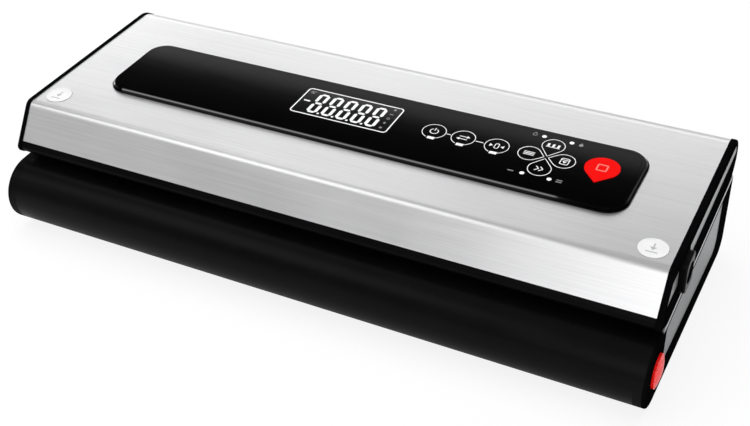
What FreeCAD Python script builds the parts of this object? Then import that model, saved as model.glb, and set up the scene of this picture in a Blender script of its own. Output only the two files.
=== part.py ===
import FreeCAD
import Part
import math
import os
from FreeCAD import Placement, Rotation, Vector

# Bench-top vacuum sealer. X runs along the machine, +Y to the rear, +Z up, the table is Z = 0.
# All sizes are in millimetres.

# Overall form
BODY_WIDTH = 390.0          # over both end caps
BODY_DEPTH = 161.0          # nose front to rear wall
FOOT_HEIGHT = 2.0           # table to underside of the base
NOSE_RADIUS = 19.5          # full-round front of the base
REAR_EDGE_RADIUS = 10.0     # lower rear edge of the base
PARTING_ANGLE = 4.5         # degrees, slope of the deck, rising to the rear
PARTING_GAP = 0.6           # between the closed lid and the deck
LID_REAR_RADIUS = 14.5      # round rear edge of the lid, centred on the hinge axis
LID_REAR_SETBACK = 0.4      # rear wall to the rear of the lid
LID_TOP_ANGLE = 3.2         # degrees, slope of the lid's top
FOLD_SETBACK = 31.0         # nose front to the fold of the steel cover
FOLD_RADIUS = 6.0
STRIP_SETBACK = 18.0        # nose front to the lower edge of the steel cover
STRIP_RISE = 13.06          # crest of the nose to the lower edge of the steel cover
LIP_LENGTH = 7.0            # black lip below the steel, along its slope
LIP_RADIUS = 3.5
MOUTH_DEPTH = 12.0          # nose crest to the inner end of the bag mouth, along the deck
MOUTH_EDGE_RADIUS = 2.0
DECK_REAR_EDGE_RADIUS = 1.2

# Walls and general clearances
WALL = 2.5                  # base housing
LID_WALL = 2.4
FIT = 0.15                  # between parts that drop into each other
SLACK = 0.4                 # between parts that move past each other

# End caps
BASE_CAP = 6.0              # thickness
LID_CAP = 3.2
CAP_EDGE_RADIUS = 0.9
CAP_PROUD = 0.4             # lid cap above the steel cover
BASE_INSET_DEPTH = 1.6
LID_INSET_DEPTH = 1.0
INSET_SINK = 0.4            # inset plate below the cap's rim
INSET_TOP_RIM = 3.2
INSET_REAR_RIM = 20.0
INSET_FRONT_HEIGHT = 14.0   # lower edge of the base inset above the underside, at its front
INSET_REAR_HEIGHT = 12.0    # and at its rear
INSET_BUTTON_GAP = 2.5      # release button to the front of the base inset
INSET_CORNER = 2.0
LID_INSET_RIM = 1.8         # strip and round rear to the ends of the lid inset
LID_INSET_TOP = 6.0         # upper edge of the lid inset below the lid's top
LID_INSET_FRONT_LOW = 17.5  # lower edge below the lid's top, at its front
LID_INSET_REAR_LOW = 13.5   # and at its rear
LID_INSET_CORNER = 1.0

# Steel cover
SKIN = 0.8
SKIN_END_ANGLE = 16.0       # degrees above the horizontal, where the cover ends at the rear

# Hinge
EAR_END = 77.0              # end of the body to the middle of an ear
EAR_WIDTH = 16.0
EAR_RADIUS = 6.5
EAR_STALK = 9.0             # thickness of the ear below its eye
PIN_RADIUS = 2.0
PIN_GRIP = 12.0             # pin length held by the lid on each side of an ear
PIN_FIT = 0.02
PIN_CLEARANCE = 0.05
LID_OPENING = 65.0          # degrees
HINGE_BAR = 11.0            # solid rear bar of the lid, ahead of the hinge axis

# Deck of the base, along the slope from the nose crest
DECK_FRONT = 12.5
DECK_THICKNESS = 4.0
SHELF = 4.0
BAR_FRONT = 14.5            # heat bar groove
BAR_WIDTH = 8.0
BAR_DEPTH = 3.0
BAR_END = 37.0              # end of the body to the end of the heat bar
ELEMENT_WIDTH = 4.0
ELEMENT_THICKNESS = 0.3
TAPE_WIDTH = 7.0
TAPE_THICKNESS = 0.3
GASKET_FRONT = 32.0
GASKET_DEPTH = 54.0
GASKET_END = 26.0           # end of the body to the end of the gaskets
GASKET_WIDTH = 6.0
GASKET_CORNER = 12.0
GASKET_GROOVE = 2.0
LOWER_GASKET_PROUD = 0.3
UPPER_GASKET_SINK = 0.6
TROUGH_RIM = 2.0            # gasket groove to the vacuum trough
TROUGH_DEPTH = 14.0
TROUGH_WALL = 2.0
CHAMBER_HEIGHT = 9.0        # hollow in the lid above the trough
TRAY_WALL = 1.2
TRAY_SINK = 1.0             # tray rim below the deck
TRAY_INLET_SPACE = 18.0     # end of the trough left free for the air inlet
TRAY_TAB = 9.0

# Lid underplate and seal pad
UNDERPLATE = 4.5            # thickness
UNDER_FRONT = 14.0
UNDER_REAR_GAP = 1.5        # underplate to the hinge bar
PAD_WIDTH = 6.0
PAD_GROOVE = 2.6
PAD_SINK = 0.4

# Control panel, placed on the lid's top along the slope from the fold
PANEL_END = 35.0            # end of the body to the end of the panel
PANEL_WIDTH = 57.0
PANEL_REAR = 28.1           # ahead of the hinge axis
PANEL_CORNER = 13.0
PANEL_RAISE = 2.5
PANEL_BEVEL = 1.8
PANEL_RIM = 4.0
PANEL_FLANGE = 3.0          # rim resting on the steel
PANEL_NECK = 5.0
FACE_THICKNESS = 1.4
DISPLAY_X = -11.7
DISPLAY_SHIFT = 3.3         # behind the middle of the panel
DISPLAY_LENGTH = 61.0
DISPLAY_WIDTH = 25.5
DISPLAY_CORNER = 2.0
DISPLAY_THICKNESS = 2.6
STOP_END = 21.5             # right end of the panel to the middle of the stop key
STOP_SHIFT = 4.7
STOP_RADIUS = 9.4
STOP_TIP = 13.6             # centre of the drop to its point
STOP_PROUD = 0.3
BOARD_THICKNESS = 1.6
BOARD_MARGIN = 7.0
CHIP = (14.0, 14.0, 1.6)
PAD_DISC_END = 14.5         # end of the body to the middle of a push disc
PAD_DISC_S = 12.6
PAD_DISC_RADIUS = 7.6
PAD_DISC_PROUD = 0.2

# Accessory hose port on the right end of the lid
PORT_S = 19.5               # along the lid's top from the fold
PORT_DROP = 15.0            # below the lid's top
PORT_LENGTH = 15.0
PORT_TALL = 20.0
PORT_CORNER = 4.0
PORT_PROUD = 3.2
PORT_SOCKET_RADIUS = 6.0
PORT_SOCKET_DEPTH = 1.2
PORT_BORE = 3.0             # radius
PORT_TUBE_RADIUS = 4.6
PORT_TUBE = 14.0            # inside the lid

# Release buttons and latches
BUTTON_RADIUS = 9.2
BUTTON_PROUD = 2.8
BUTTON_EDGE = 1.2           # straight side of the button outside the cap
BUTTON_TRAVEL = 2.5
BUTTON_FLANGE = 11.5
BUTTON_FLANGE_THICKNESS = 1.5
BUTTON_FLANGE_GAP = 0.2
STEM = 8.0                  # square stem behind the button
LATCH_END = 18.0            # end of the body to the middle of the catch shank
LATCH_U = 26.0
LATCH_WIDTH = 8.0           # along the deck
CATCH_THICKNESS = 3.0
CATCH_REACH = 5.6           # below the deck surface
CATCH_BARB = 1.8
CATCH_BARB_TALL = 2.0
LATCH_PLATE = 2.5
LATCH_CLEARANCE = 0.5       # catch above the latch plate
LATCH_WEB = 4.0
LATCH_BRIDGE = 7.1          # latch plate between the web and the window
LATCH_LIP = 0.4             # catch shank to the edge of the window under its barb
SPRING_RADIUS = 4.2         # to the middle of the wire
SPRING_WIRE = 0.5           # radius
SPRING_LENGTH = 13.0
SPRING_TURNS = 5
SPIGOT_RADIUS = 3.0
SPIGOT_LENGTH = 3.0
BULKHEAD = 2.5

# Lid switch
SWITCH_END = 75.0           # right end of the body to the middle of the switch
SWITCH_SETBACK = 9.0        # rear of the underplate to the switch, along the deck
SWITCH_BODY = (16.0, 8.0, 11.0)
PLUNGER_RADIUS = 2.0
PLUNGER_PROUD = 0.4
PLUNGER_DEPTH = 2.6         # below the underside of the deck
PLUNGER_TRAVEL = 1.5
PLUNGER_CLEARANCE = 0.3

# Feet on load cells
FOOT_END = 45.0             # end of the body to the middle of a foot
FOOT_FRONT = 35.5           # nose front to the middle of the front feet
FOOT_REAR = 27.5            # rear wall to the middle of the rear feet
FOOT_RADIUS = 9.0
FOOT_STEM = 5.0
FOOT_SLACK = 0.6
CELL = 32.0                 # square load cell
CELL_THICKNESS = 1.6
CELL_SLOT = 2.0

# Screws
SCREW_RADIUS = 1.5
SCREW_HEAD = 3.0
SCREW_HEAD_TALL = 1.6
SCREW_HOLE = 1.7
SCREW_PILOT = 1.55
SCREW_BITE = 2.5
BOSS_RADIUS = 4.0
BASE_BOSS_END = 19.0        # end of the body to the corner bosses
BASE_BOSS_FRONT = 64.5      # nose front to the front corner bosses
BASE_BOSS_REAR = 40.5       # rear wall to the rear corner bosses
BAR_BOSS_X = 60.0           # middle of the machine to the bosses behind the heat bar
LID_BOSS_END = 19.0         # end of the body to the lid's outer bosses
LID_BOSS_X = 60.0           # middle of the machine to the lid's inner bosses
LID_BOSS_OUTER_FRONT = 52.0  # nose crest to the front outer bosses, along the deck
LID_BOSS_INNER_FRONT = 27.0
LID_BOSS_OUTER_REAR = 21.7  # ahead of the rear of the underplate
LID_BOSS_INNER_REAR = 8.0

# Vacuum pump and other inner parts
PUMP_GAP = 8.0              # vacuum trough to the pump head
PUMP_Z = 22.0
MOTOR_LEFT = -68.0
MOTOR_LENGTH = 50.0
MOTOR_RADIUS = 14.0
MOTOR_FLAT = 12.0           # half width over the motor's two flats
MOTOR_BOSS_RADIUS = 5.0
MOTOR_BOSS = 3.0
SHAFT_RADIUS = 1.5
SHAFT_CLEARANCE = 0.05
SHAFT_BORE = 40.0           # depth of the bearing bore in the motor
HEAD_LENGTH = 38.0
HEAD_WIDTH = 32.0
HEAD_TALL = 30.0
HEAD_WALL = 4.0
CRANK_RADIUS = 9.0
CRANK_THICKNESS = 7.0
CRANK_PIN = 2.0
CRANK_THROW = 4.0
CRANK_SPACE = 2.0           # around the crank
MOUNT_WIDTH = 24.0
MOUNT_LENGTH = 8.0
MOUNT_INSET = 6.0
BARB_RADIUS = 2.6
BARB_LENGTH = 10.0
BARB_BORE = 1.5
HOSE_WALL = 1.2
HOSE_FIT = 0.05
HOSE_BEND = 16.0
HOSE_GAP = 1.0              # elbow to the end of a hose
INLET_SINK_X = 9.0          # end of the trough to the air inlet
INLET_FLANGE = 5.5
INLET_FLANGE_TALL = 2.5
INLET_TUBE = 4.0
INLET_DROP = 9.0            # below the trough floor
VALVE_BOX = (24.0, 22.0, 22.0)
VALVE_REACH = 46.0          # air inlet to the middle of the valve, along the machine
VALVE_GAP = 7.0             # vacuum trough to the valve
TRANSFORMER_CORE = (30.0, 36.0)      # length and height
TRANSFORMER_COIL = (44.0, 26.0)
TRANSFORMER_STEP = 4.0      # front of the core to the front of the coil
TRANSFORMER_GAP = 6.0       # vacuum trough to the transformer
TRANSFORMER_REAR_GAP = 10.0  # transformer to the round lower edge of the base
TRANSFORMER_MOTOR_GAP = 5.0
POWER_BOARD = (104.0, 40.0, 1.6)
POWER_BOARD_X = -80.0
POWER_BOARD_GAP = 2.0       # screw bosses to the board
POWER_BOARD_POST = 4.0
POST_RADIUS = 2.5
CAPACITOR_RADIUS = 5.0
CAPACITOR_TALL = 14.0
HEAT_SINK = (26.0, 4.0, 15.0)
GLAND_END = 45.0            # left end of the body to the middle of the gland
GLAND_Z = 24.0
GLAND_RADIUS = 7.0
GLAND_FLANGE = 9.5
GLAND_FLANGE_THICKNESS = 2.0
GLAND_BORE = 3.7
GLAND_INSIDE = 5.0
VENT_COUNT = 7
VENT_PITCH = 8.0
VENT_WIDTH = 3.0
VENT_LENGTH = 26.0
VENT_Y = 12.0

# Worked out from the sizes above
TINY = 1e-6
FAR = 4 * BODY_DEPTH
FRONT = -BODY_DEPTH / 2
REAR = BODY_DEPTH / 2
HALF = BODY_WIDTH / 2
BASE_HALF = HALF - BASE_CAP
LID_HALF = HALF - LID_CAP
FLOOR_Z = FOOT_HEIGHT + WALL
PARTING_SIN = math.sin(math.radians(PARTING_ANGLE))
PARTING_COS = math.cos(math.radians(PARTING_ANGLE))
TOP_SIN = math.sin(math.radians(LID_TOP_ANGLE))
TOP_COS = math.cos(math.radians(LID_TOP_ANGLE))
NOSE_Y = FRONT + NOSE_RADIUS
NOSE_Z = FOOT_HEIGHT + NOSE_RADIUS
CREST_Y = NOSE_Y - NOSE_RADIUS * PARTING_SIN
CREST_Z = NOSE_Z + NOSE_RADIUS * PARTING_COS
LID_REAR = REAR - LID_REAR_SETBACK
HINGE_Y = LID_REAR - LID_REAR_RADIUS
HINGE_V = PARTING_GAP + LID_REAR_RADIUS
HINGE_U = (HINGE_Y - CREST_Y + HINGE_V * PARTING_SIN) / PARTING_COS
HINGE_Z = CREST_Z + HINGE_U * PARTING_SIN + HINGE_V * PARTING_COS
TOP_REAR_Y = HINGE_Y - LID_REAR_RADIUS * TOP_SIN
TOP_REAR_Z = HINGE_Z + LID_REAR_RADIUS * TOP_COS
FOLD_Y = FRONT + FOLD_SETBACK
FOLD_Z = TOP_REAR_Z - (TOP_REAR_Y - FOLD_Y) * TOP_SIN / TOP_COS
STRIP_Y = FRONT + STRIP_SETBACK
STRIP_HEIGHT = CREST_Z + STRIP_RISE
STRIP_RUN = math.hypot(STRIP_Y - FOLD_Y, STRIP_HEIGHT - FOLD_Z)
STRIP_DOWN_Y = (STRIP_Y - FOLD_Y) / STRIP_RUN
STRIP_DOWN_Z = (STRIP_HEIGHT - FOLD_Z) / STRIP_RUN
STRIP_ALONG = STRIP_DOWN_Y * TOP_COS + STRIP_DOWN_Z * TOP_SIN
STRIP_ACROSS = STRIP_DOWN_Z * TOP_COS - STRIP_DOWN_Y * TOP_SIN
UNDER_V = PARTING_GAP + CAP_PROUD
DECK_REAR = (REAR - WALL - CREST_Y - DECK_THICKNESS * PARTING_SIN) / PARTING_COS
UNDER_REAR = HINGE_U - HINGE_BAR - UNDER_REAR_GAP
EAR_X = HALF - EAR_END
BAR_LENGTH = BODY_WIDTH - 2 * BAR_END
GASKET_LENGTH = BODY_WIDTH - 2 * GASKET_END
TROUGH_FRONT = GASKET_FRONT + GASKET_WIDTH + TROUGH_RIM
TROUGH_REAR = GASKET_FRONT + GASKET_DEPTH - GASKET_WIDTH - TROUGH_RIM
TROUGH_HALF = GASKET_LENGTH / 2 - GASKET_WIDTH - TROUGH_RIM
TROUGH_CORNER = GASKET_CORNER - GASKET_WIDTH - TROUGH_RIM
LATCH_X = HALF - LATCH_END
LATCH_WEB_X = LATCH_X - CATCH_THICKNESS / 2 - LATCH_LIP - LATCH_BRIDGE - LATCH_WEB
LATCH_TOP = -CATCH_REACH - LATCH_CLEARANCE
# the catch swings forward as it leaves its slot
LATCH_SWING = SLACK + CATCH_REACH * (HINGE_V + CATCH_REACH) / (HINGE_U - LATCH_U)
BAR_MIDDLE = BAR_FRONT + BAR_WIDTH / 2
BAR_BOSS_U = BAR_FRONT + BAR_WIDTH + WALL + BOSS_RADIUS + SLACK
BAR_BOSS_Y = CREST_Y + BAR_BOSS_U * PARTING_COS + DECK_THICKNESS * PARTING_SIN
PANEL_LENGTH = BODY_WIDTH - 2 * PANEL_END
PANEL_FRONT = (TOP_REAR_Y - FOLD_Y) / TOP_COS - PANEL_REAR - PANEL_WIDTH
PANEL_MIDDLE = PANEL_FRONT + PANEL_WIDTH / 2
DISPLAY_S = PANEL_MIDDLE + DISPLAY_SHIFT
STOP_S = PANEL_MIDDLE + STOP_SHIFT
STOP_X = PANEL_LENGTH / 2 - STOP_END
PAD_DISC_X = HALF - PAD_DISC_END
SWITCH_X = HALF - SWITCH_END
SWITCH_U = UNDER_REAR - SWITCH_SETBACK
FOOT_X = HALF - FOOT_END
GLAND_X = GLAND_END - HALF
INLET_X = TROUGH_HALF - INLET_SINK_X
INLET_U = (TROUGH_FRONT + TROUGH_REAR) / 2
CRANK_LEFT = MOTOR_LEFT + MOTOR_LENGTH + HEAD_WALL + CRANK_SPACE
# rear of the vacuum trough, where the room for the pump begins
BAY_Y = CREST_Y + (TROUGH_REAR + TROUGH_WALL) * PARTING_COS + (TROUGH_DEPTH + TROUGH_WALL) * PARTING_SIN
PUMP_Y = BAY_Y + PUMP_GAP + HEAD_WIDTH / 2
VALVE_X = INLET_X - VALVE_REACH
VALVE_Y = BAY_Y + VALVE_GAP + VALVE_BOX[1] / 2
TRANSFORMER_X = MOTOR_LEFT - MOTOR_BOSS - TRANSFORMER_MOTOR_GAP - TRANSFORMER_COIL[0] / 2
TRANSFORMER_WIDTH = REAR - REAR_EDGE_RADIUS - TRANSFORMER_REAR_GAP - BAY_Y - TRANSFORMER_GAP
TRANSFORMER_Y = BAY_Y + TRANSFORMER_GAP + TRANSFORMER_WIDTH / 2
POWER_BOARD_Y = BAR_BOSS_Y + BOSS_RADIUS + POWER_BOARD_GAP + POWER_BOARD[1] / 2

# Tilted frames: the deck from the nose crest, and the lid's top from the fold
DECK = Placement(Vector(0, CREST_Y, CREST_Z), Rotation(Vector(1, 0, 0), PARTING_ANGLE))
LID_TOP = Placement(Vector(0, FOLD_Y, FOLD_Z), Rotation(Vector(1, 0, 0), LID_TOP_ANGLE))
X_AXIS = Vector(1, 0, 0)
Y_AXIS = Vector(0, 1, 0)
Z_AXIS = Vector(0, 0, 1)


def deck_point(u, v):
    # Y and Z of a point u along the deck and v above it
    return (CREST_Y + u * PARTING_COS - v * PARTING_SIN, CREST_Z + u * PARTING_SIN + v * PARTING_COS)


def deck_height(y, v):
    # Z of the plane that lies v above the deck
    return CREST_Z + (y - CREST_Y) * PARTING_SIN / PARTING_COS + v / PARTING_COS


def top_height(y):
    return FOLD_Z + (y - FOLD_Y) * TOP_SIN / TOP_COS


def bends(points, radii):
    # start, middle and end of the tangent arc at each point of a closed run of straight lines
    arcs = []
    for index, corner in enumerate(points):
        back = (points[index - 1] - corner).normalize()
        ahead = (points[(index + 1) % len(points)] - corner).normalize()
        half = back.getAngle(ahead) / 2
        reach = radii[index] / math.tan(half)
        inward = (back + ahead).normalize() * (radii[index] / math.sin(half) - radii[index])
        arcs.append((corner + back * reach, corner + inward, corner + ahead * reach))
    return arcs


def joined(arcs):
    # edges that run from each arc to the next, with the arcs between them
    edges = []
    for (start, middle, end), (following, _, _) in zip(arcs, arcs[1:]):
        if start.distanceToPoint(end) > TINY:
            edges.append(Part.Arc(start, middle, end).toShape())
        if end.distanceToPoint(following) > TINY:
            edges.append(Part.LineSegment(end, following).toShape())
    return edges


def face(corners, place):
    # flat face inside corners (a, b, radius), which run anticlockwise
    points = [place(a, b) for a, b, _ in corners]
    arcs = bends(points, [radius for _, _, radius in corners])
    return Part.Face(Part.Wire(joined(arcs + arcs[:1])))


def along_x(corners, x0, x1):
    return face(corners, lambda a, b: Vector(x0, a, b)).extrude(Vector(x1 - x0, 0, 0))


def along_z(corners, z0, z1):
    return face(corners, lambda a, b: Vector(a, b, z0)).extrude(Vector(0, 0, z1 - z0))


def inset(corners, distance):
    # the outline moved inwards by one distance, its arcs kept concentric
    moved = []
    for index, (a, b, radius) in enumerate(corners):
        before = corners[index - 1]
        after = corners[(index + 1) % len(corners)]
        run_in = Vector(a - before[0], b - before[1], 0).normalize()
        run_out = Vector(after[0] - a, after[1] - b, 0).normalize()
        left_in = Vector(-run_in.y, run_in.x, 0)
        left_out = Vector(-run_out.y, run_out.x, 0)
        shift = (left_in + left_out) * (distance / (1 + left_in.dot(left_out)))
        moved.append((a + shift.x, b + shift.y, max(radius - distance, 0)))
    return moved


def rectangle(x0, x1, y0, y1, radius=0):
    return [(x0, y0, radius), (x1, y0, radius), (x1, y1, radius), (x0, y1, radius)]


def placed(shape, frame):
    copy = shape.copy()
    copy.Placement = frame.multiply(copy.Placement)
    return copy


def block(x0, x1, y0, y1, z0, z1):
    return Part.makeBox(x1 - x0, y1 - y0, z1 - z0, Vector(x0, y0, z0))


def deck_block(x0, x1, u0, u1, v0, v1):
    return placed(block(x0, x1, u0, u1, v0, v1), DECK)


def deck_plate(corners, v0, v1):
    return placed(along_z(corners, v0, v1), DECK)


def top_plate(corners, w0, w1):
    return placed(along_z(corners, w0, w1), LID_TOP)


def deck_pin(x, u, radius, v0, v1):
    return placed(Part.makeCylinder(radius, v1 - v0, Vector(x, u, v0)), DECK)


def rod(radius, start, end):
    return Part.makeCylinder(radius, (end - start).Length, start, end - start)


def mirrored(shape):
    return shape.mirror(Vector(0, 0, 0), X_AXIS)


def both(shape):
    return [shape, mirrored(shape)]


def rounded_end(solid, x, radius):
    # round over the edges of the face that lies at x
    boxes = [(edge, edge.BoundBox) for edge in solid.Edges]
    edges = [edge for edge, box in boxes if abs(box.XMin - x) < TINY and box.XLength < TINY]
    return solid.makeFillet(radius, edges)


def save(name, *solids):
    shape = solids[0] if len(solids) == 1 else Part.makeCompound(list(solids))
    shape.exportStep(os.path.join("parts", name + ".step"))


# Sections across the machine, as (y, z, radius)
def base_outline():
    return [
        (FRONT, FOOT_HEIGHT, NOSE_RADIUS),
        (REAR, FOOT_HEIGHT, REAR_EDGE_RADIUS),
        (REAR, deck_height(REAR, 0), DECK_REAR_EDGE_RADIUS),
        (FRONT, deck_height(FRONT, 0), NOSE_RADIUS),
    ]


def lid_outline():
    return [
        (STRIP_Y + LIP_LENGTH * STRIP_DOWN_Y, STRIP_HEIGHT + LIP_LENGTH * STRIP_DOWN_Z, LIP_RADIUS),
        deck_point(MOUTH_DEPTH, PARTING_GAP) + (MOUTH_EDGE_RADIUS,),
        (LID_REAR, deck_height(LID_REAR, PARTING_GAP), LID_REAR_RADIUS),
        (LID_REAR, top_height(LID_REAR), LID_REAR_RADIUS),
        (FOLD_Y, FOLD_Z, FOLD_RADIUS),
    ]


def gasket_ring(clearance, v0, v1):
    ring = rectangle(-GASKET_LENGTH / 2, GASKET_LENGTH / 2, GASKET_FRONT, GASKET_FRONT + GASKET_DEPTH,
                     GASKET_CORNER)
    outer = deck_plate(inset(ring, -clearance), v0, v1)
    return outer.cut(deck_plate(inset(ring, GASKET_WIDTH + clearance), v0, v1))


def trough_outline():
    return rectangle(-TROUGH_HALF, TROUGH_HALF, TROUGH_FRONT, TROUGH_REAR, TROUGH_CORNER)


def on_both_sides(places):
    return places + [(-x, along) for x, along in places]


def base_bosses():
    corner_x = HALF - BASE_BOSS_END
    return on_both_sides([(corner_x, FRONT + BASE_BOSS_FRONT), (corner_x, REAR - BASE_BOSS_REAR),
                          (BAR_BOSS_X, BAR_BOSS_Y)])


def lid_bosses():
    outer_x = HALF - LID_BOSS_END
    return on_both_sides([(outer_x, LID_BOSS_OUTER_FRONT), (outer_x, UNDER_REAR - LID_BOSS_OUTER_REAR),
                          (LID_BOSS_X, LID_BOSS_INNER_FRONT),
                          (LID_BOSS_X, UNDER_REAR - LID_BOSS_INNER_REAR)])


def feet_places():
    return on_both_sides([(FOOT_X, FRONT + FOOT_FRONT), (FOOT_X, REAR - FOOT_REAR)])


# Base
def base_housing():
    inner = inset(base_outline(), WALL)
    shell = along_x(base_outline(), -BASE_HALF, BASE_HALF).cut(along_x(inner, -BASE_HALF, BASE_HALF))
    shelf_low = -DECK_THICKNESS - WALL
    adds = [deck_block(-BASE_HALF, BASE_HALF, DECK_FRONT - WALL, DECK_FRONT + SHELF, shelf_low,
                       -WALL / 2)]
    rear_shelf = deck_block(-BASE_HALF, BASE_HALF, DECK_REAR - SHELF, DECK_REAR + FAR, shelf_low,
                            -WALL / 2)
    adds.append(rear_shelf.common(along_x(inset(base_outline(), WALL / 2), -BASE_HALF, BASE_HALF)))
    for x, y in base_bosses():
        adds.append(Part.makeCylinder(BOSS_RADIUS, deck_height(y, 0) - FOOT_HEIGHT - WALL / 2,
                                      Vector(x, y, FLOOR_Z - WALL / 2)))
    seat_x = LATCH_WEB_X - SPRING_LENGTH
    seat = along_x(inset(base_outline(), WALL / 2), seat_x - BULKHEAD, seat_x)
    seat_low = -NOSE_RADIUS - STEM
    adds.extend(both(seat.common(deck_block(0, HALF, -FAR, DECK_FRONT, seat_low, shelf_low))))
    shell = shell.fuse(adds)
    cuts = [deck_block(-BASE_HALF, BASE_HALF, DECK_FRONT, DECK_REAR, -DECK_THICKNESS, FAR)]
    for x, y in base_bosses():
        cuts.append(rod(SCREW_HOLE, Vector(x, y, 0), Vector(x, y, deck_height(y, 0))))
        cuts.append(rod(SCREW_HEAD + FIT, Vector(x, y, 0), Vector(x, y, FOOT_HEIGHT + SCREW_HEAD_TALL)))
    for x, y in feet_places():
        cuts.append(rod(FOOT_STEM + FOOT_SLACK, Vector(x, y, 0), Vector(x, y, FLOOR_Z + WALL)))
    cuts.append(rod(GLAND_RADIUS + FIT, Vector(GLAND_X, REAR - 2 * WALL, GLAND_Z),
                    Vector(GLAND_X, REAR + WALL, GLAND_Z)))
    for index in range(VENT_COUNT):
        x = (index - (VENT_COUNT - 1) / 2) * VENT_PITCH
        slot = rectangle(x - VENT_WIDTH / 2, x + VENT_WIDTH / 2, VENT_Y - VENT_LENGTH / 2,
                         VENT_Y + VENT_LENGTH / 2, VENT_WIDTH / 2)
        cuts.append(along_z(slot, 0, FLOOR_Z + WALL))
    return shell.cut(cuts).removeSplitter()


def hinge_ear():
    eye = rod(EAR_RADIUS, Vector(EAR_X - EAR_WIDTH / 2, HINGE_Y, HINGE_Z),
              Vector(EAR_X + EAR_WIDTH / 2, HINGE_Y, HINGE_Z))
    stalk = deck_block(EAR_X - EAR_WIDTH / 2, EAR_X + EAR_WIDTH / 2, HINGE_U - EAR_STALK / 2,
                       HINGE_U + EAR_STALK / 2,
                       -DECK_THICKNESS, HINGE_V)
    return eye.fuse(stalk)


def base_deck():
    plate = deck_block(-BASE_HALF, BASE_HALF, DECK_FRONT + FIT, DECK_REAR - FIT, -DECK_THICKNESS, 0)
    bar_half = BAR_LENGTH / 2
    adds = both(hinge_ear())
    adds.append(deck_block(-bar_half - WALL, bar_half + WALL, DECK_FRONT + SHELF + FIT,
                           BAR_FRONT + BAR_WIDTH + WALL,
                           -BAR_DEPTH - WALL, -DECK_THICKNESS))
    adds.append(deck_plate(inset(trough_outline(), -TROUGH_WALL), -TROUGH_DEPTH - TROUGH_WALL,
                           -DECK_THICKNESS))
    deck = plate.fuse(adds)
    cuts = [deck_plate(trough_outline(), -TROUGH_DEPTH, DECK_THICKNESS)]
    cuts.append(gasket_ring(FIT, -GASKET_GROOVE, DECK_THICKNESS))
    cuts.append(deck_block(-bar_half, bar_half, BAR_FRONT, BAR_FRONT + BAR_WIDTH, -BAR_DEPTH,
                           DECK_THICKNESS))
    inner = LATCH_X - CATCH_THICKNESS / 2 - CATCH_BARB - SLACK
    outer = LATCH_X + CATCH_THICKNESS / 2 + SLACK
    slot = deck_block(inner, outer, LATCH_U - LATCH_WIDTH / 2 - LATCH_SWING,
                      LATCH_U + LATCH_WIDTH / 2 + SLACK,
                      -2 * DECK_THICKNESS, DECK_THICKNESS)
    cuts.extend(both(slot))
    cuts.append(deck_pin(SWITCH_X, SWITCH_U, PLUNGER_RADIUS + PLUNGER_CLEARANCE, -2 * DECK_THICKNESS,
                         DECK_THICKNESS))
    cuts.append(deck_pin(INLET_X, INLET_U, INLET_TUBE + FIT, -2 * TROUGH_DEPTH, 0))
    eye_span = EAR_X + EAR_WIDTH
    cuts.append(rod(PIN_RADIUS + PIN_CLEARANCE, Vector(-eye_span, HINGE_Y, HINGE_Z),
                    Vector(eye_span, HINGE_Y, HINGE_Z)))
    for x, y in base_bosses():
        low = deck_height(y, -DECK_THICKNESS)
        cuts.append(rod(SCREW_PILOT, Vector(x, y, low - DECK_THICKNESS),
                        Vector(x, y, low + SCREW_BITE + FIT)))
    deck = deck.cut(cuts).removeSplitter()
    hollow_end = TROUGH_HALF - TROUGH_CORNER
    sides = beside_hollow(deck, -hollow_end, hollow_end, -TROUGH_DEPTH, FAR)
    return sides + [deck.common(deck_block(-FAR, FAR, -FAR, FAR, -FAR, -TROUGH_DEPTH))]


def base_inset_outline(margin):
    front = NOSE_Y + BUTTON_RADIUS + INSET_BUTTON_GAP
    rear = REAR - INSET_REAR_RIM
    return inset([
        (front, FOOT_HEIGHT + INSET_FRONT_HEIGHT, INSET_CORNER),
        (rear, FOOT_HEIGHT + INSET_REAR_HEIGHT, REAR_EDGE_RADIUS - INSET_CORNER),
        (rear, deck_height(rear, -INSET_TOP_RIM), INSET_CORNER),
        (front, deck_height(front, -INSET_TOP_RIM), INSET_CORNER),
    ], margin)


def base_end_cap():
    cap = rounded_end(along_x(base_outline(), BASE_HALF, HALF), HALF, CAP_EDGE_RADIUS)
    recess = along_x(base_inset_outline(0), HALF - BASE_INSET_DEPTH, HALF + WALL)
    hole = rod(BUTTON_RADIUS + SLACK, Vector(BASE_HALF - WALL, NOSE_Y, NOSE_Z),
               Vector(HALF + WALL, NOSE_Y, NOSE_Z))
    return cap.cut([recess, hole])


def base_side_inset():
    return along_x(base_inset_outline(FIT), HALF - BASE_INSET_DEPTH, HALF - INSET_SINK)


def heat_bar():
    half = BAR_LENGTH / 2 - FIT
    top = -ELEMENT_THICKNESS - TAPE_THICKNESS
    return deck_block(-half, half, BAR_FRONT + FIT, BAR_FRONT + BAR_WIDTH - FIT, -BAR_DEPTH, top)


def bar_strip(width, v0, v1):
    half = BAR_LENGTH / 2 - FIT
    return deck_block(-half, half, BAR_MIDDLE - width / 2, BAR_MIDDLE + width / 2, v0, v1)


def beside_hollow(moulding, x0, x1, v0, v1):
    # both ends, the front and the rear of a moulding with a hollow over the trough, between two levels
    spaces = [deck_block(-FAR, x0, -FAR, FAR, v0, v1), deck_block(x1, FAR, -FAR, FAR, v0, v1),
              deck_block(x0, x1, -FAR, INLET_U, v0, v1), deck_block(x0, x1, INLET_U, FAR, v0, v1)]
    return [moulding.common(space) for space in spaces]


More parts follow.
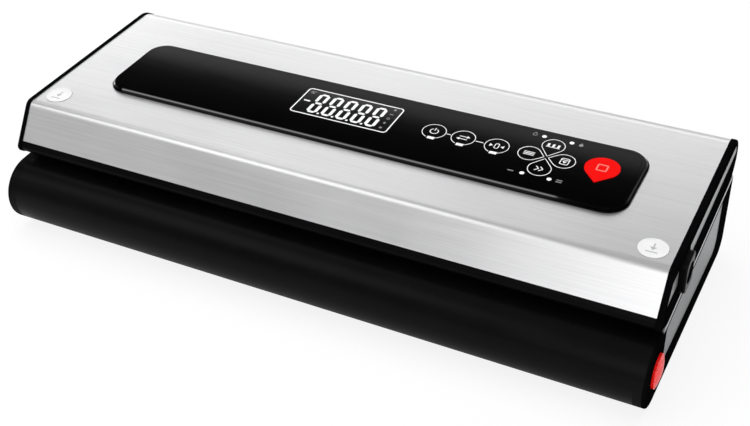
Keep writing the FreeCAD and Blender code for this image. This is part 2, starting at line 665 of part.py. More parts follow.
def drip_tray():
    well = rectangle(-TROUGH_HALF, TROUGH_HALF - TRAY_INLET_SPACE, TROUGH_FRONT, TROUGH_REAR, TROUGH_CORNER)
    outer = inset(well, FIT)
    floor = TRAY_WALL - TROUGH_DEPTH
    tray = deck_plate(outer, floor, -TRAY_SINK).cut(deck_plate(inset(outer, TRAY_WALL), floor, 0))
    end = TROUGH_HALF - TRAY_INLET_SPACE - FIT
    tab = rectangle(end - TRAY_WALL, end + TRAY_TAB / 2, INLET_U - TRAY_TAB, INLET_U + TRAY_TAB,
                    TRAY_WALL / 2)
    tray = tray.fuse(deck_plate(tab, -TRAY_SINK - TRAY_WALL, -TRAY_SINK)).removeSplitter()
    sides = beside_hollow(tray, TROUGH_CORNER - TROUGH_HALF, end - TROUGH_CORNER, floor, 0)
    return sides + [deck_plate(outer, -TROUGH_DEPTH, floor)]


def inlet_elbow():
    # middle of the elbow below the trough, where both hoses leave
    y, z = deck_point(INLET_U, -TROUGH_DEPTH - TROUGH_WALL - INLET_DROP + INLET_TUBE)
    return Vector(INLET_X, y, z)


def barb(start, direction):
    return rod(BARB_RADIUS, start, start + direction * BARB_LENGTH)


def air_inlet():
    low = -TROUGH_DEPTH - TROUGH_WALL - INLET_DROP
    body = deck_pin(INLET_X, INLET_U, INLET_TUBE, low, -TROUGH_DEPTH)
    body = body.fuse(deck_pin(INLET_X, INLET_U, INLET_FLANGE, -TROUGH_DEPTH,
                              INLET_FLANGE_TALL - TROUGH_DEPTH))
    elbow = inlet_elbow()
    reach = INLET_TUBE
    body = body.fuse([rod(BARB_RADIUS, elbow, elbow - X_AXIS * (reach + BARB_LENGTH)),
                      rod(BARB_RADIUS, elbow, elbow + Y_AXIS * (reach + BARB_LENGTH))])
    bores = [rod(BARB_BORE, elbow, elbow - X_AXIS * FAR), rod(BARB_BORE, elbow, elbow + Y_AXIS * FAR)]
    bores.append(deck_pin(INLET_X, INLET_U, BARB_BORE, low + INLET_TUBE, 0))
    return body.cut(bores)


def hose(points):
    # tube along straight runs and tangent arcs, open at both ends
    arcs = bends(points, [HOSE_BEND] * len(points))[1:-1]
    run = [(points[0],) * 3] + arcs + [(points[-1],) * 3]
    path = Part.Wire(joined(run))
    along = (points[1] - points[0]).normalize()
    radius = BARB_RADIUS + HOSE_FIT
    solids = []
    for r in (radius + HOSE_WALL, radius):
        ring = Part.Wire(Part.makeCircle(r, points[0], along))
        solids.append(path.makePipeShell([ring], True, False))
    return solids[0].cut(solids[1])


def pump_barb():
    # root of the pump's suction nozzle
    return Vector(MOTOR_LEFT + MOTOR_LENGTH + HEAD_LENGTH, PUMP_Y - HEAD_WIDTH / 4, PUMP_Z + HEAD_TALL / 4)


def pump_hose():
    start = inlet_elbow() - X_AXIS * (INLET_TUBE + HOSE_GAP)
    end = pump_barb()
    first = Vector(start.x - 2 * HOSE_BEND, start.y, start.z)
    last = Vector(end.x + 2 * HOSE_BEND, end.y, end.z)
    return hose([start, first, last, end])


def valve_barb():
    return Vector(VALVE_X + VALVE_BOX[0] / 2, VALVE_Y, inlet_elbow().z)


def valve_hose():
    start = inlet_elbow() + Y_AXIS * (INLET_TUBE + HOSE_GAP)
    end = valve_barb()
    return hose([start, Vector(start.x, end.y, start.z), end])


def solenoid_valve():
    length, width, tall = VALVE_BOX
    frame = block(VALVE_X - length / 2, VALVE_X + length / 2, VALVE_Y - width / 2, VALVE_Y + width / 2,
                  FLOOR_Z, FLOOR_Z + tall)
    frame = frame.cut(block(VALVE_X - length / 2 + WALL, VALVE_X + length / 2 - WALL, VALVE_Y - width,
                            VALVE_Y + width,
                            FLOOR_Z + WALL, FLOOR_Z + tall - WALL))
    root = valve_barb()
    coil = rod(width / 2 - WALL, Vector(VALVE_X - length / 2 + WALL, VALVE_Y, root.z),
               Vector(VALVE_X + length / 2 - WALL, VALVE_Y, root.z))
    valve = frame.fuse([coil, rod(BARB_RADIUS, root - X_AXIS * WALL, root + X_AXIS * BARB_LENGTH)])
    return valve.cut(rod(BARB_BORE, root - X_AXIS * WALL, root + X_AXIS * FAR))


def pump_motor():
    left = Vector(MOTOR_LEFT, PUMP_Y, PUMP_Z)
    right = left + X_AXIS * MOTOR_LENGTH
    can = rod(MOTOR_RADIUS, left, right)
    flats = block(MOTOR_LEFT, MOTOR_LEFT + MOTOR_LENGTH, PUMP_Y - MOTOR_RADIUS, PUMP_Y + MOTOR_RADIUS,
                  PUMP_Z - MOTOR_FLAT, PUMP_Z + MOTOR_FLAT)
    can = can.common(flats).fuse(rod(MOTOR_BOSS_RADIUS, left - X_AXIS * MOTOR_BOSS, left))
    return can.cut(rod(SHAFT_RADIUS + SHAFT_CLEARANCE, right - X_AXIS * SHAFT_BORE, right))


def pump_head():
    x0 = MOTOR_LEFT + MOTOR_LENGTH
    x1 = x0 + HEAD_LENGTH
    corners = rectangle(PUMP_Y - HEAD_WIDTH / 2, PUMP_Y + HEAD_WIDTH / 2, PUMP_Z - HEAD_TALL / 2,
                        PUMP_Z + HEAD_TALL / 2,
                        HEAD_WALL)
    head = along_x(corners, x0, x1).fuse(barb(pump_barb(), X_AXIS))
    room_end = CRANK_LEFT + 2 * CRANK_THICKNESS + CRANK_SPACE
    room = rod(CRANK_RADIUS + CRANK_SPACE, Vector(x0 + HEAD_WALL, PUMP_Y, PUMP_Z),
               Vector(room_end, PUMP_Y, PUMP_Z))
    neck = rod(SHAFT_RADIUS + SLACK, Vector(x0 - WALL, PUMP_Y, PUMP_Z),
               Vector(x0 + HEAD_WALL, PUMP_Y, PUMP_Z))
    root = pump_barb()
    return head.cut([room, neck, rod(BARB_BORE, root - X_AXIS * HEAD_WALL, root + X_AXIS * FAR)])


def pump_crank():
    x0 = MOTOR_LEFT + MOTOR_LENGTH
    axis = Vector(0, PUMP_Y, PUMP_Z)
    shaft = rod(SHAFT_RADIUS, axis + X_AXIS * (x0 - SHAFT_BORE + SLACK),
                axis + X_AXIS * (CRANK_LEFT + CRANK_THICKNESS))
    disc = rod(CRANK_RADIUS, axis + X_AXIS * CRANK_LEFT, axis + X_AXIS * (CRANK_LEFT + CRANK_THICKNESS))
    pin_start = axis + Vector(CRANK_LEFT, 0, CRANK_THROW)
    return shaft.fuse([disc, rod(CRANK_PIN, pin_start,
                                 pin_start + X_AXIS * 2 * CRANK_THICKNESS)]).removeSplitter()


def pump_mounts():
    # rubber saddles under the motor and the pump head
    x0 = MOTOR_LEFT + MOUNT_INSET
    x1 = MOTOR_LEFT + MOTOR_LENGTH + HEAD_LENGTH - MOUNT_INSET - MOUNT_LENGTH
    saddles = []
    for x, top in ((x0, PUMP_Z - MOTOR_FLAT), (x1, PUMP_Z - HEAD_TALL / 2)):
        corners = rectangle(PUMP_Y - MOUNT_WIDTH / 2, PUMP_Y + MOUNT_WIDTH / 2, FLOOR_Z, top)
        saddles.append(along_x(corners, x, x + MOUNT_LENGTH))
    return saddles


def transformer():
    length, tall = TRANSFORMER_CORE
    width = TRANSFORMER_WIDTH
    x, y = TRANSFORMER_X, TRANSFORMER_Y
    core = block(x - length / 2, x + length / 2, y - width / 2, y + width / 2, FLOOR_Z, FLOOR_Z + tall)
    coil_length, coil_tall = TRANSFORMER_COIL
    coil_width = width - 2 * TRANSFORMER_STEP
    low = FLOOR_Z + (tall - coil_tall) / 2
    coil = along_z(rectangle(x - coil_length / 2, x + coil_length / 2, y - coil_width / 2,
                             y + coil_width / 2, HEAD_WALL),
                   low, low + coil_tall)
    return core.fuse(coil)


def power_board():
    length, width, thickness = POWER_BOARD
    x0 = POWER_BOARD_X - length / 2
    y0 = POWER_BOARD_Y - width / 2
    low = FLOOR_Z + POWER_BOARD_POST
    top = low + thickness
    adds = []
    for x in (x0 + 2 * POST_RADIUS, x0 + length - 2 * POST_RADIUS):
        for y in (y0 + 2 * POST_RADIUS, y0 + width - 2 * POST_RADIUS):
            adds.append(rod(POST_RADIUS, Vector(x, y, FLOOR_Z), Vector(x, y, low)))
    for step in (1, 2):
        x = x0 + step * 3 * CAPACITOR_RADIUS
        adds.append(rod(CAPACITOR_RADIUS, Vector(x, POWER_BOARD_Y, top),
                        Vector(x, POWER_BOARD_Y, top + CAPACITOR_TALL)))
    sink_length, sink_width, sink_tall = HEAT_SINK
    adds.append(block(POWER_BOARD_X, POWER_BOARD_X + sink_length, POWER_BOARD_Y - sink_width,
                      POWER_BOARD_Y, top, top + sink_tall))
    return block(x0, x0 + length, y0, y0 + width, low, top).fuse(adds)


def load_cell(x, y):
    # square strain plate whose slotted tongue stands on the foot
    half = CELL / 2
    plate = block(x - half, x + half, y - half, y + half, FLOOR_Z, FLOOR_Z + CELL_THICKNESS)
    reach = FOOT_STEM + FOOT_SLACK + CELL_SLOT
    slot = block(x - reach, x + reach, y - reach, y + reach, FLOOR_Z, FLOOR_Z + CELL_THICKNESS)
    tongue = block(x - reach + CELL_SLOT, x + reach, y - reach + CELL_SLOT, y + reach - CELL_SLOT,
                   FLOOR_Z, FLOOR_Z + CELL_THICKNESS)
    return plate.cut(slot).fuse(tongue).removeSplitter()


def foot(x, y):
    pad = rod(FOOT_RADIUS, Vector(x, y, 0), Vector(x, y, FOOT_HEIGHT - FIT))
    return pad.fuse(rod(FOOT_STEM, Vector(x, y, 0), Vector(x, y, FLOOR_Z)))


def cord_gland():
    start = Vector(GLAND_X, REAR - WALL - GLAND_INSIDE, GLAND_Z)
    wall_face = Vector(GLAND_X, REAR - WALL, GLAND_Z)
    gland = rod(GLAND_RADIUS, start, Vector(GLAND_X, REAR, GLAND_Z))
    inside = rod(GLAND_FLANGE, wall_face - Y_AXIS * GLAND_FLANGE_THICKNESS, wall_face)
    return gland.fuse(inside).cut(rod(GLAND_BORE, start, Vector(GLAND_X, REAR, GLAND_Z)))


def base_screw(x, y):
    head = Vector(x, y, FOOT_HEIGHT)
    shank_end = Vector(x, y, deck_height(y, -DECK_THICKNESS) + SCREW_BITE)
    seat = Vector(x, y, FOOT_HEIGHT + SCREW_HEAD_TALL)
    return rod(SCREW_HEAD, head, seat).fuse(rod(SCREW_RADIUS, seat, shank_end))


def lid_switch():
    length, width, tall = SWITCH_BODY
    top = -DECK_THICKNESS
    body = deck_block(SWITCH_X - length / 2, SWITCH_X + length / 2, SWITCH_U - width / 2,
                      SWITCH_U + width / 2, top - tall, top)
    depth = PLUNGER_DEPTH + PLUNGER_TRAVEL + SLACK
    return body.cut(deck_pin(SWITCH_X, SWITCH_U, PLUNGER_RADIUS + PLUNGER_CLEARANCE, top - depth, top))


def switch_plunger():
    return deck_pin(SWITCH_X, SWITCH_U, PLUNGER_RADIUS, -DECK_THICKNESS - PLUNGER_DEPTH, PLUNGER_PROUD)


# Release button, latch and spring of the right end
def release_button():
    axis = Vector(0, NOSE_Y, NOSE_Z)
    back = BASE_HALF - BUTTON_FLANGE_GAP - BUTTON_FLANGE_THICKNESS
    flange = rod(BUTTON_FLANGE, axis + X_AXIS * back, axis + X_AXIS * (BASE_HALF - BUTTON_FLANGE_GAP))
    barrel = rod(BUTTON_RADIUS, axis + X_AXIS * back, axis + X_AXIS * (HALF + BUTTON_EDGE))
    crown = BUTTON_PROUD - BUTTON_EDGE
    ball = (BUTTON_RADIUS ** 2 + crown ** 2) / (2 * crown)
    dome = Part.makeSphere(ball, axis + X_AXIS * (HALF + BUTTON_PROUD - ball))
    dome = dome.common(rod(BUTTON_RADIUS, axis + X_AXIS * (HALF + BUTTON_EDGE),
                           axis + X_AXIS * (HALF + BUTTON_PROUD + WALL)))
    return flange.fuse([barrel, dome]).removeSplitter()


def latch_slider():
    stem_low = -NOSE_RADIUS - STEM / 2
    stem_end = BASE_HALF - BUTTON_FLANGE_GAP - BUTTON_FLANGE_THICKNESS
    plate_low = LATCH_TOP - LATCH_PLATE
    far = LATCH_U + LATCH_WIDTH / 2 + WALL + SLACK
    near = LATCH_U - LATCH_WIDTH / 2 - WALL - LATCH_SWING
    outer = LATCH_X + CATCH_THICKNESS / 2 + SLACK
    web = deck_block(LATCH_WEB_X, LATCH_WEB_X + LATCH_WEB, -STEM / 2, far, stem_low, plate_low)
    stem = deck_block(LATCH_WEB_X, stem_end, -STEM / 2, STEM / 2, stem_low, stem_low + STEM)
    plate = deck_block(LATCH_WEB_X, outer + BUTTON_TRAVEL + WALL, near, far, plate_low, LATCH_TOP)
    window = deck_block(LATCH_X - CATCH_THICKNESS / 2 - LATCH_LIP, outer + BUTTON_TRAVEL, near + WALL,
                        far - WALL,
                        plate_low - WALL, LATCH_TOP + WALL)
    spigot = rod(SPIGOT_RADIUS, Vector(LATCH_WEB_X - SPIGOT_LENGTH, NOSE_Y, NOSE_Z),
                 Vector(LATCH_WEB_X, NOSE_Y, NOSE_Z))
    return web.fuse([stem, plate, spigot]).cut(window).removeSplitter()


def button_spring():
    # round wire wound by quarter turns between the bulkhead and the latch
    left = LATCH_WEB_X - SPRING_LENGTH + SPRING_WIRE
    rise = (SPRING_LENGTH - 2 * SPRING_WIRE) / (4 * SPRING_TURNS)

    def on_wire(quarter):
        angle = quarter * math.pi / 2
        return Vector(left + quarter * rise, NOSE_Y + SPRING_RADIUS * math.cos(angle),
                      NOSE_Z + SPRING_RADIUS * math.sin(angle))

    edges = []
    for quarter in range(4 * SPRING_TURNS):
        edges.append(Part.Arc(on_wire(quarter), on_wire(quarter + 0.5), on_wire(quarter + 1)).toShape())
    path = Part.Wire(edges)
    start = edges[0].tangentAt(edges[0].FirstParameter)
    ring = Part.Wire(Part.makeCircle(SPRING_WIRE, on_wire(0), start))
    return path.makePipeShell([ring], True, False)


# Lid
def skin_section(x0, x1):
    # band of steel over the front strip, the top and part of the round rear
    outer = along_x(inset(lid_outline(), CAP_PROUD), x0, x1)
    inner = along_x(inset(lid_outline(), CAP_PROUD + SKIN), x0, x1)
    end = math.radians(SKIN_END_ANGLE)
    out_y, out_z = STRIP_DOWN_Z, -STRIP_DOWN_Y
    reach = LID_REAR_RADIUS
    keep = [
        (STRIP_Y - reach * out_y, STRIP_HEIGHT - reach * out_z, 0),
        (HINGE_Y, HINGE_Z, 0),
        (HINGE_Y + FAR * math.cos(end), HINGE_Z + FAR * math.sin(end), 0),
        (HINGE_Y, HINGE_Z + FAR, 0),
        (STRIP_Y + reach * out_y - FAR * STRIP_DOWN_Y,
         STRIP_HEIGHT + reach * out_z - FAR * STRIP_DOWN_Z, 0),
        (STRIP_Y + reach * out_y, STRIP_HEIGHT + reach * out_z, 0),
    ]
    return outer.cut(inner).common(along_x(keep, x0, x1))


def panel_outline(margin):
    return inset(rectangle(-PANEL_LENGTH / 2, PANEL_LENGTH / 2, PANEL_FRONT, PANEL_FRONT + PANEL_WIDTH,
                           PANEL_CORNER), margin)


def panel_window():
    return top_plate(panel_outline(PANEL_FLANGE - FIT), -2 * PANEL_NECK, PANEL_RAISE)


def push_disc(radius, w0, w1):
    return placed(Part.makeCylinder(radius, w1 - w0, Vector(PAD_DISC_X, PAD_DISC_S, w0)), LID_TOP)


def lid_skin():
    cuts = [panel_window()] + both(push_disc(PAD_DISC_RADIUS + FIT, -CAP_PROUD - 2 * SKIN, PANEL_RAISE))
    return skin_section(-LID_HALF, LID_HALF).cut(cuts)


def push_pads():
    return both(push_disc(PAD_DISC_RADIUS, -CAP_PROUD - SKIN, PAD_DISC_PROUD - CAP_PROUD))


def ear_stalk_space(angle):
    # room for the ear's stalk in the lid when it is open by this angle
    stalk = block(0, EAR_WIDTH + 2 * SLACK, -EAR_STALK / 2 - SLACK, EAR_STALK / 2 + SLACK,
                  -2 * LID_REAR_RADIUS, 0)
    low = Vector(EAR_X - EAR_WIDTH / 2 - SLACK, HINGE_Y, HINGE_Z)
    return placed(stalk, Placement(low, Rotation(X_AXIS, PARTING_ANGLE + angle)))


def ear_notch():
    # everything that the ear passes through in the turning lid
    width = EAR_WIDTH + 2 * SLACK
    low = Vector(EAR_X - width / 2, HINGE_Y, HINGE_Z)
    hub = Part.makeCylinder(EAR_RADIUS + SLACK, width, low, X_AXIS)
    sector = Part.makeCylinder(2 * LID_REAR_RADIUS, width, Vector(0, 0, 0), Z_AXIS, LID_OPENING)
    lying = placed(sector, Placement(Vector(0, 0, 0), Rotation(Y_AXIS, Z_AXIS, X_AXIS, "ZXY")))
    sweep = placed(lying, Placement(low, Rotation(X_AXIS, PARTING_ANGLE - 90)))
    return hub.fuse([sweep, ear_stalk_space(0), ear_stalk_space(LID_OPENING)])


def lid_frame():
    body = along_x(inset(lid_outline(), CAP_PROUD), -LID_HALF,
                   LID_HALF).cut(skin_section(-LID_HALF, LID_HALF))
    half = LID_HALF - LID_WALL
    hollow = along_x(inset(lid_outline(), CAP_PROUD + SKIN + LID_WALL), -half, half)
    hollow = hollow.common(block(-half, half, FRONT, HINGE_Y - HINGE_BAR, 0, FAR))
    mouth = deck_block(-half, half, UNDER_FRONT, UNDER_REAR, 0, UNDER_V + UNDERPLATE)
    shell = body.cut([hollow, mouth])
    bosses = []
    for x, u in lid_bosses():
        column = deck_pin(x, u, BOSS_RADIUS, UNDER_V + UNDERPLATE, FAR)
        bosses.append(column.common(along_x(inset(lid_outline(), CAP_PROUD + SKIN + LID_WALL / 2),
                                            -half, half)))
    shell = shell.fuse(bosses)
    cuts = [panel_window()] + both(ear_notch())
    for x, u in lid_bosses():
        cuts.append(deck_pin(x, u, SCREW_PILOT, 0, UNDER_V + UNDERPLATE + 2 * SCREW_BITE + FIT))
    reach = EAR_WIDTH / 2 + PIN_GRIP
    for x in (EAR_X, -EAR_X):
        cuts.append(rod(PIN_RADIUS + PIN_FIT, Vector(x - reach, HINGE_Y, HINGE_Z),
                        Vector(x + reach, HINGE_Y, HINGE_Z)))
    cuts.append(port_tube(PORT_TUBE_RADIUS + FIT))
    return shell.cut(cuts).removeSplitter()


def hinge_pins():
    reach = EAR_WIDTH / 2 + PIN_GRIP
    return both(rod(PIN_RADIUS, Vector(EAR_X - reach, HINGE_Y, HINGE_Z),
                    Vector(EAR_X + reach, HINGE_Y, HINGE_Z)))


def lid_underplate():
    half = LID_HALF - LID_WALL - FIT
    plate = deck_block(-half, half, UNDER_FRONT + FIT, UNDER_REAR - FIT, UNDER_V, UNDER_V + UNDERPLATE)
    chamber_top = UNDER_V + CHAMBER_HEIGHT
    plate = plate.fuse(deck_plate(inset(trough_outline(), -TROUGH_WALL), UNDER_V,
                                  chamber_top + TROUGH_WALL))
    cuts = [deck_plate(trough_outline(), 0, chamber_top),
            gasket_ring(FIT, 0, UNDER_V + UPPER_GASKET_SINK + GASKET_GROOVE)]
    pad_half = BAR_LENGTH / 2
    cuts.append(deck_block(-pad_half, pad_half, BAR_MIDDLE - PAD_WIDTH / 2 - FIT,
                           BAR_MIDDLE + PAD_WIDTH / 2 + FIT,
                           0, UNDER_V + PAD_GROOVE))
    for x, u in lid_bosses():
        cuts.append(deck_pin(x, u, SCREW_HOLE, 0, 2 * UNDERPLATE))
        cuts.append(deck_pin(x, u, SCREW_HEAD + FIT, 0, UNDER_V + SCREW_HEAD_TALL))
    plate = plate.cut(cuts).removeSplitter()
    hollow_end = TROUGH_HALF - TROUGH_CORNER
    sides = beside_hollow(plate, -hollow_end, hollow_end, 0, chamber_top)
    return sides + [plate.common(deck_block(-FAR, FAR, -FAR, FAR, chamber_top, FAR))]


def lid_screw(x, u):
    head = deck_pin(x, u, SCREW_HEAD, UNDER_V, UNDER_V + SCREW_HEAD_TALL)
    return head.fuse(deck_pin(x, u, SCREW_RADIUS, UNDER_V + SCREW_HEAD_TALL,
                              UNDER_V + UNDERPLATE + 2 * SCREW_BITE))


def upper_gasket():
    low = UNDER_V + UPPER_GASKET_SINK
    return gasket_ring(0, low, low + GASKET_GROOVE)


def seal_pad():
    half = BAR_LENGTH / 2 - FIT
    return deck_block(-half, half, BAR_MIDDLE - PAD_WIDTH / 2, BAR_MIDDLE + PAD_WIDTH / 2,
                      UNDER_V + PAD_SINK, UNDER_V + PAD_GROOVE)


def lid_catch():
    near = LATCH_U - LATCH_WIDTH / 2
    far = LATCH_U + LATCH_WIDTH / 2
    inner = LATCH_X - CATCH_THICKNESS / 2
    outer = LATCH_X + CATCH_THICKNESS / 2
    corners = [
        (outer, UNDER_V),
        (inner, UNDER_V),
        (inner, CATCH_BARB_TALL - CATCH_REACH),
        (inner - CATCH_BARB, CATCH_BARB_TALL - CATCH_REACH),
        (inner, -CATCH_REACH),
        (outer, -CATCH_REACH),
    ]
    hook = Part.Face(Part.makePolygon([Vector(x, near, v) for x, v in corners + corners[:1]]))
    return placed(hook.extrude(Vector(0, far - near, 0)), DECK)


def lid_inset_ends(w):
    # s of both ends of the lid inset at this level, one rim inside the strip and the round rear
    run = (w - LID_INSET_RIM * STRIP_ALONG) / STRIP_ACROSS
    front = run * STRIP_ALONG - LID_INSET_RIM * STRIP_ACROSS
    reach = math.sqrt((LID_REAR_RADIUS - LID_INSET_RIM) ** 2 - (LID_REAR_RADIUS + w) ** 2)
    return front, (TOP_REAR_Y - FOLD_Y) / TOP_COS + reach


def lid_inset_outline(margin):
    front, rear = lid_inset_ends(-LID_INSET_TOP)
    front_low = lid_inset_ends(-LID_INSET_FRONT_LOW)[0]
    rear_low = lid_inset_ends(-LID_INSET_REAR_LOW)[1]
    return inset([
        (front_low, -LID_INSET_FRONT_LOW, LID_INSET_CORNER),
        (rear_low, -LID_INSET_REAR_LOW, LID_INSET_CORNER),
        (rear, -LID_INSET_TOP, LID_INSET_CORNER),
        (front, -LID_INSET_TOP, LID_INSET_CORNER),
    ], margin)


def on_lid_end(corners, x0, x1):
    # prism along X on an outline (s, w) measured from the fold, along and square to the lid's top
    tilted = [(FOLD_Y + s * TOP_COS - w * TOP_SIN, FOLD_Z + s * TOP_SIN + w * TOP_COS, r) for s, w,
              r in corners]
    return along_x(tilted, x0, x1)


def port_land(margin):
    # the part of the lid's end that carries the accessory port
    reach = PORT_LENGTH / 2 + INSET_CORNER + margin
    return on_lid_end(rectangle(PORT_S - reach, PORT_S + reach, -FOLD_Z, FOLD_Z), LID_HALF, HALF + WALL)


def lid_end_cap():
    # the plain cap, and the cap that carries the port
    cap = rounded_end(along_x(lid_outline(), LID_HALF, HALF), HALF, CAP_EDGE_RADIUS)
    recess = on_lid_end(lid_inset_outline(0), HALF - LID_INSET_DEPTH, HALF + WALL)
    return cap.cut(recess), cap.cut([recess.cut(port_land(0)), port_tube(PORT_TUBE_RADIUS + FIT)])


def lid_side_inset():
    # the plain plate, and the two plates beside the port
    plate = on_lid_end(lid_inset_outline(FIT), HALF - LID_INSET_DEPTH, HALF - INSET_SINK)
    return plate, plate.cut(port_land(FIT))


def port_axis(x):
    y = FOLD_Y + PORT_S * TOP_COS + PORT_DROP * TOP_SIN
    z = FOLD_Z + PORT_S * TOP_SIN - PORT_DROP * TOP_COS
    return Vector(x, y, z)


def port_tube(radius):
    return rod(radius, port_axis(LID_HALF - PORT_TUBE), port_axis(HALF + WALL))


def accessory_port():
    s0 = PORT_S - PORT_LENGTH / 2
    w0 = -PORT_DROP - PORT_TALL / 2
    boss = on_lid_end(rectangle(s0, s0 + PORT_LENGTH, w0, w0 + PORT_TALL, PORT_CORNER), HALF,
                      HALF + PORT_PROUD)
    boss = rounded_end(boss, HALF + PORT_PROUD, CAP_EDGE_RADIUS)
    tube = rod(PORT_TUBE_RADIUS, port_axis(LID_HALF - PORT_TUBE), port_axis(HALF))
    socket = rod(PORT_SOCKET_RADIUS, port_axis(HALF + PORT_PROUD - PORT_SOCKET_DEPTH),
                 port_axis(HALF + 2 * PORT_PROUD))
    bore = rod(PORT_BORE, port_axis(LID_HALF - PORT_TUBE), port_axis(HALF + 2 * PORT_PROUD))
    return boss.fuse(tube).cut([socket, bore])


# Control panel
def stop_drop(radius_margin, w0, w1):
    # round key drawn out to a point at the front
    radius = STOP_RADIUS - radius_margin
    tip = STOP_TIP * radius / STOP_RADIUS
    angle = math.acos(radius / tip)
    touch = Vector(radius * math.sin(angle), -radius * math.cos(angle), 0)
    left = Vector(-touch.x, touch.y, 0)
    point = Vector(0, -tip, 0)
    edges = [Part.Arc(touch, Vector(0, radius, 0), left).toShape(), Part.LineSegment(left, point).toShape(),
             Part.LineSegment(point, touch).toShape()]
    drop = Part.Face(Part.Wire(edges)).extrude(Vector(0, 0, w1 - w0))
    return placed(drop, LID_TOP.multiply(Placement(Vector(STOP_X, STOP_S, w0), Rotation())))


def display_outline(margin):
    return inset(rectangle(DISPLAY_X - DISPLAY_LENGTH / 2, DISPLAY_X + DISPLAY_LENGTH / 2,
                           DISPLAY_S - DISPLAY_WIDTH / 2,
                           DISPLAY_S + DISPLAY_WIDTH / 2, DISPLAY_CORNER), margin)


def panel_base(w):
    # heights on the panel are measured from the steel cover
    return w - CAP_PROUD


def control_panel_bezel():
    flange = along_z(panel_outline(0), panel_base(0), panel_base(PANEL_RAISE))
    top = [edge for edge in flange.Edges if edge.BoundBox.ZMin > panel_base(PANEL_RAISE) - TINY]
    bezel = placed(flange.makeChamfer(PANEL_BEVEL, top), LID_TOP)
    bezel = bezel.fuse(top_plate(panel_outline(PANEL_FLANGE), panel_base(-PANEL_NECK), panel_base(0)))
    cuts = [top_plate(panel_outline(PANEL_RIM), panel_base(PANEL_RAISE - FACE_THICKNESS),
                      panel_base(2 * PANEL_RAISE))]
    cuts.append(top_plate(display_outline(-FIT), panel_base(PANEL_RAISE - DISPLAY_THICKNESS),
                          panel_base(2 * PANEL_RAISE)))
    cuts.append(top_plate(panel_outline(BOARD_MARGIN), panel_base(-2 * PANEL_NECK),
                          panel_base(PANEL_RAISE - 2 * DISPLAY_THICKNESS)))
    return bezel.cut(cuts)


def control_panel_face():
    plate = top_plate(panel_outline(PANEL_RIM + FIT), panel_base(PANEL_RAISE - FACE_THICKNESS),
                      panel_base(PANEL_RAISE))
    cuts = [top_plate(display_outline(-FIT), panel_base(-PANEL_NECK), panel_base(2 * PANEL_RAISE))]
    cuts.append(stop_drop(-FIT, panel_base(-PANEL_NECK), panel_base(2 * PANEL_RAISE)))
    return plate.cut(cuts)


def display_lcd():
    return top_plate(display_outline(0), panel_base(PANEL_RAISE - DISPLAY_THICKNESS),
                     panel_base(PANEL_RAISE))


def stop_key():
    return stop_drop(0, panel_base(PANEL_RAISE - FACE_THICKNESS), panel_base(PANEL_RAISE + STOP_PROUD))


def control_board():
    top = panel_base(-PANEL_NECK)
    board = top_plate(panel_outline(PANEL_RIM), top - BOARD_THICKNESS, top)
    length, width, tall = CHIP
    chips = []
    for x in (-PANEL_LENGTH / 4, 0, PANEL_LENGTH / 4):
        corners = rectangle(x - length / 2, x + length / 2, PANEL_MIDDLE - width / 2,
                            PANEL_MIDDLE + width / 2)
        chips.append(top_plate(corners, top - BOARD_THICKNESS - tall, top - BOARD_THICKNESS))
    return board.fuse(chips)


def save_base():
    save("base_housing", base_housing())
    save("base_deck", *base_deck())
    for side, shape in zip(("right", "left"), both(base_end_cap())):
        save("base_end_cap_" + side, shape)
    for side, shape in zip(("right", "left"), both(base_side_inset())):
        save("base_side_inset_" + side, shape)
    save("heat_bar", heat_bar())
    save("heating_element", bar_strip(ELEMENT_WIDTH, -ELEMENT_THICKNESS - TAPE_THICKNESS, -TAPE_THICKNESS))
    save("ptfe_tape", bar_strip(TAPE_WIDTH, -TAPE_THICKNESS, 0))
    save("lower_gasket", gasket_ring(0, -GASKET_GROOVE, LOWER_GASKET_PROUD))
    save("drip_tray", *drip_tray())
    save("air_inlet", air_inlet())
    save("pump_hose", pump_hose())
    save("valve_hose", valve_hose())
    save("solenoid_valve", solenoid_valve())
    save("pump_motor", pump_motor())
    save("pump_head", pump_head())
    save("pump_crank", pump_crank())
    save("pump_mounts", *pump_mounts())
    save("transformer", transformer())
    save("power_board", power_board())
    save("load_cells", *[load_cell(x, y) for x, y in feet_places()])
    save("feet", *[foot(x, y) for x, y in feet_places()])
    save("cord_gland", cord_gland())
    save("base_screws", *[base_screw(x, y) for x, y in base_bosses()])
    save("lid_switch", lid_switch())
    save("switch_plunger", switch_plunger())


def save_latches():
    for name, shape in (("release_button_", release_button()), ("latch_slider_", latch_slider()),
                        ("button_spring_", button_spring())):
        for side, half in zip(("right", "left"), both(shape)):
            save(name + side, half)


def save_lid():
    save("lid_frame", lid_frame())
    save("lid_skin", lid_skin())
    save("lid_underplate", *lid_underplate())
    plain_cap, port_cap = lid_end_cap()
    save("lid_end_cap_right", port_cap)
    save("lid_end_cap_left", mirrored(plain_cap))
    plain_plate, port_plates = lid_side_inset()
    save("lid_side_inset_right", *port_plates.Solids)
    save("lid_side_inset_left", mirrored(plain_plate))
    save("accessory_port", accessory_port())
    save("hinge_pins", *hinge_pins())
    save("lid_screws", *[lid_screw(x, u) for x, u in lid_bosses()])
    save("upper_gasket", upper_gasket())
    save("seal_pad", seal_pad())
    for side, shape in zip(("right", "left"), both(lid_catch())):
        save("lid_catch_" + side, shape)
    save("push_pads", *push_pads())
    save("control_panel_bezel", control_panel_bezel())
    save("control_panel_face", control_panel_face())
    save("display_lcd", display_lcd())
    save("stop_key", stop_key())
    save("control_board", control_board())


os.makedirs("parts", exist_ok=True)
save_base()
save_latches()
save_lid()
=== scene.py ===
import math

import bpy
import numpy as np
from mathutils import Matrix, Vector


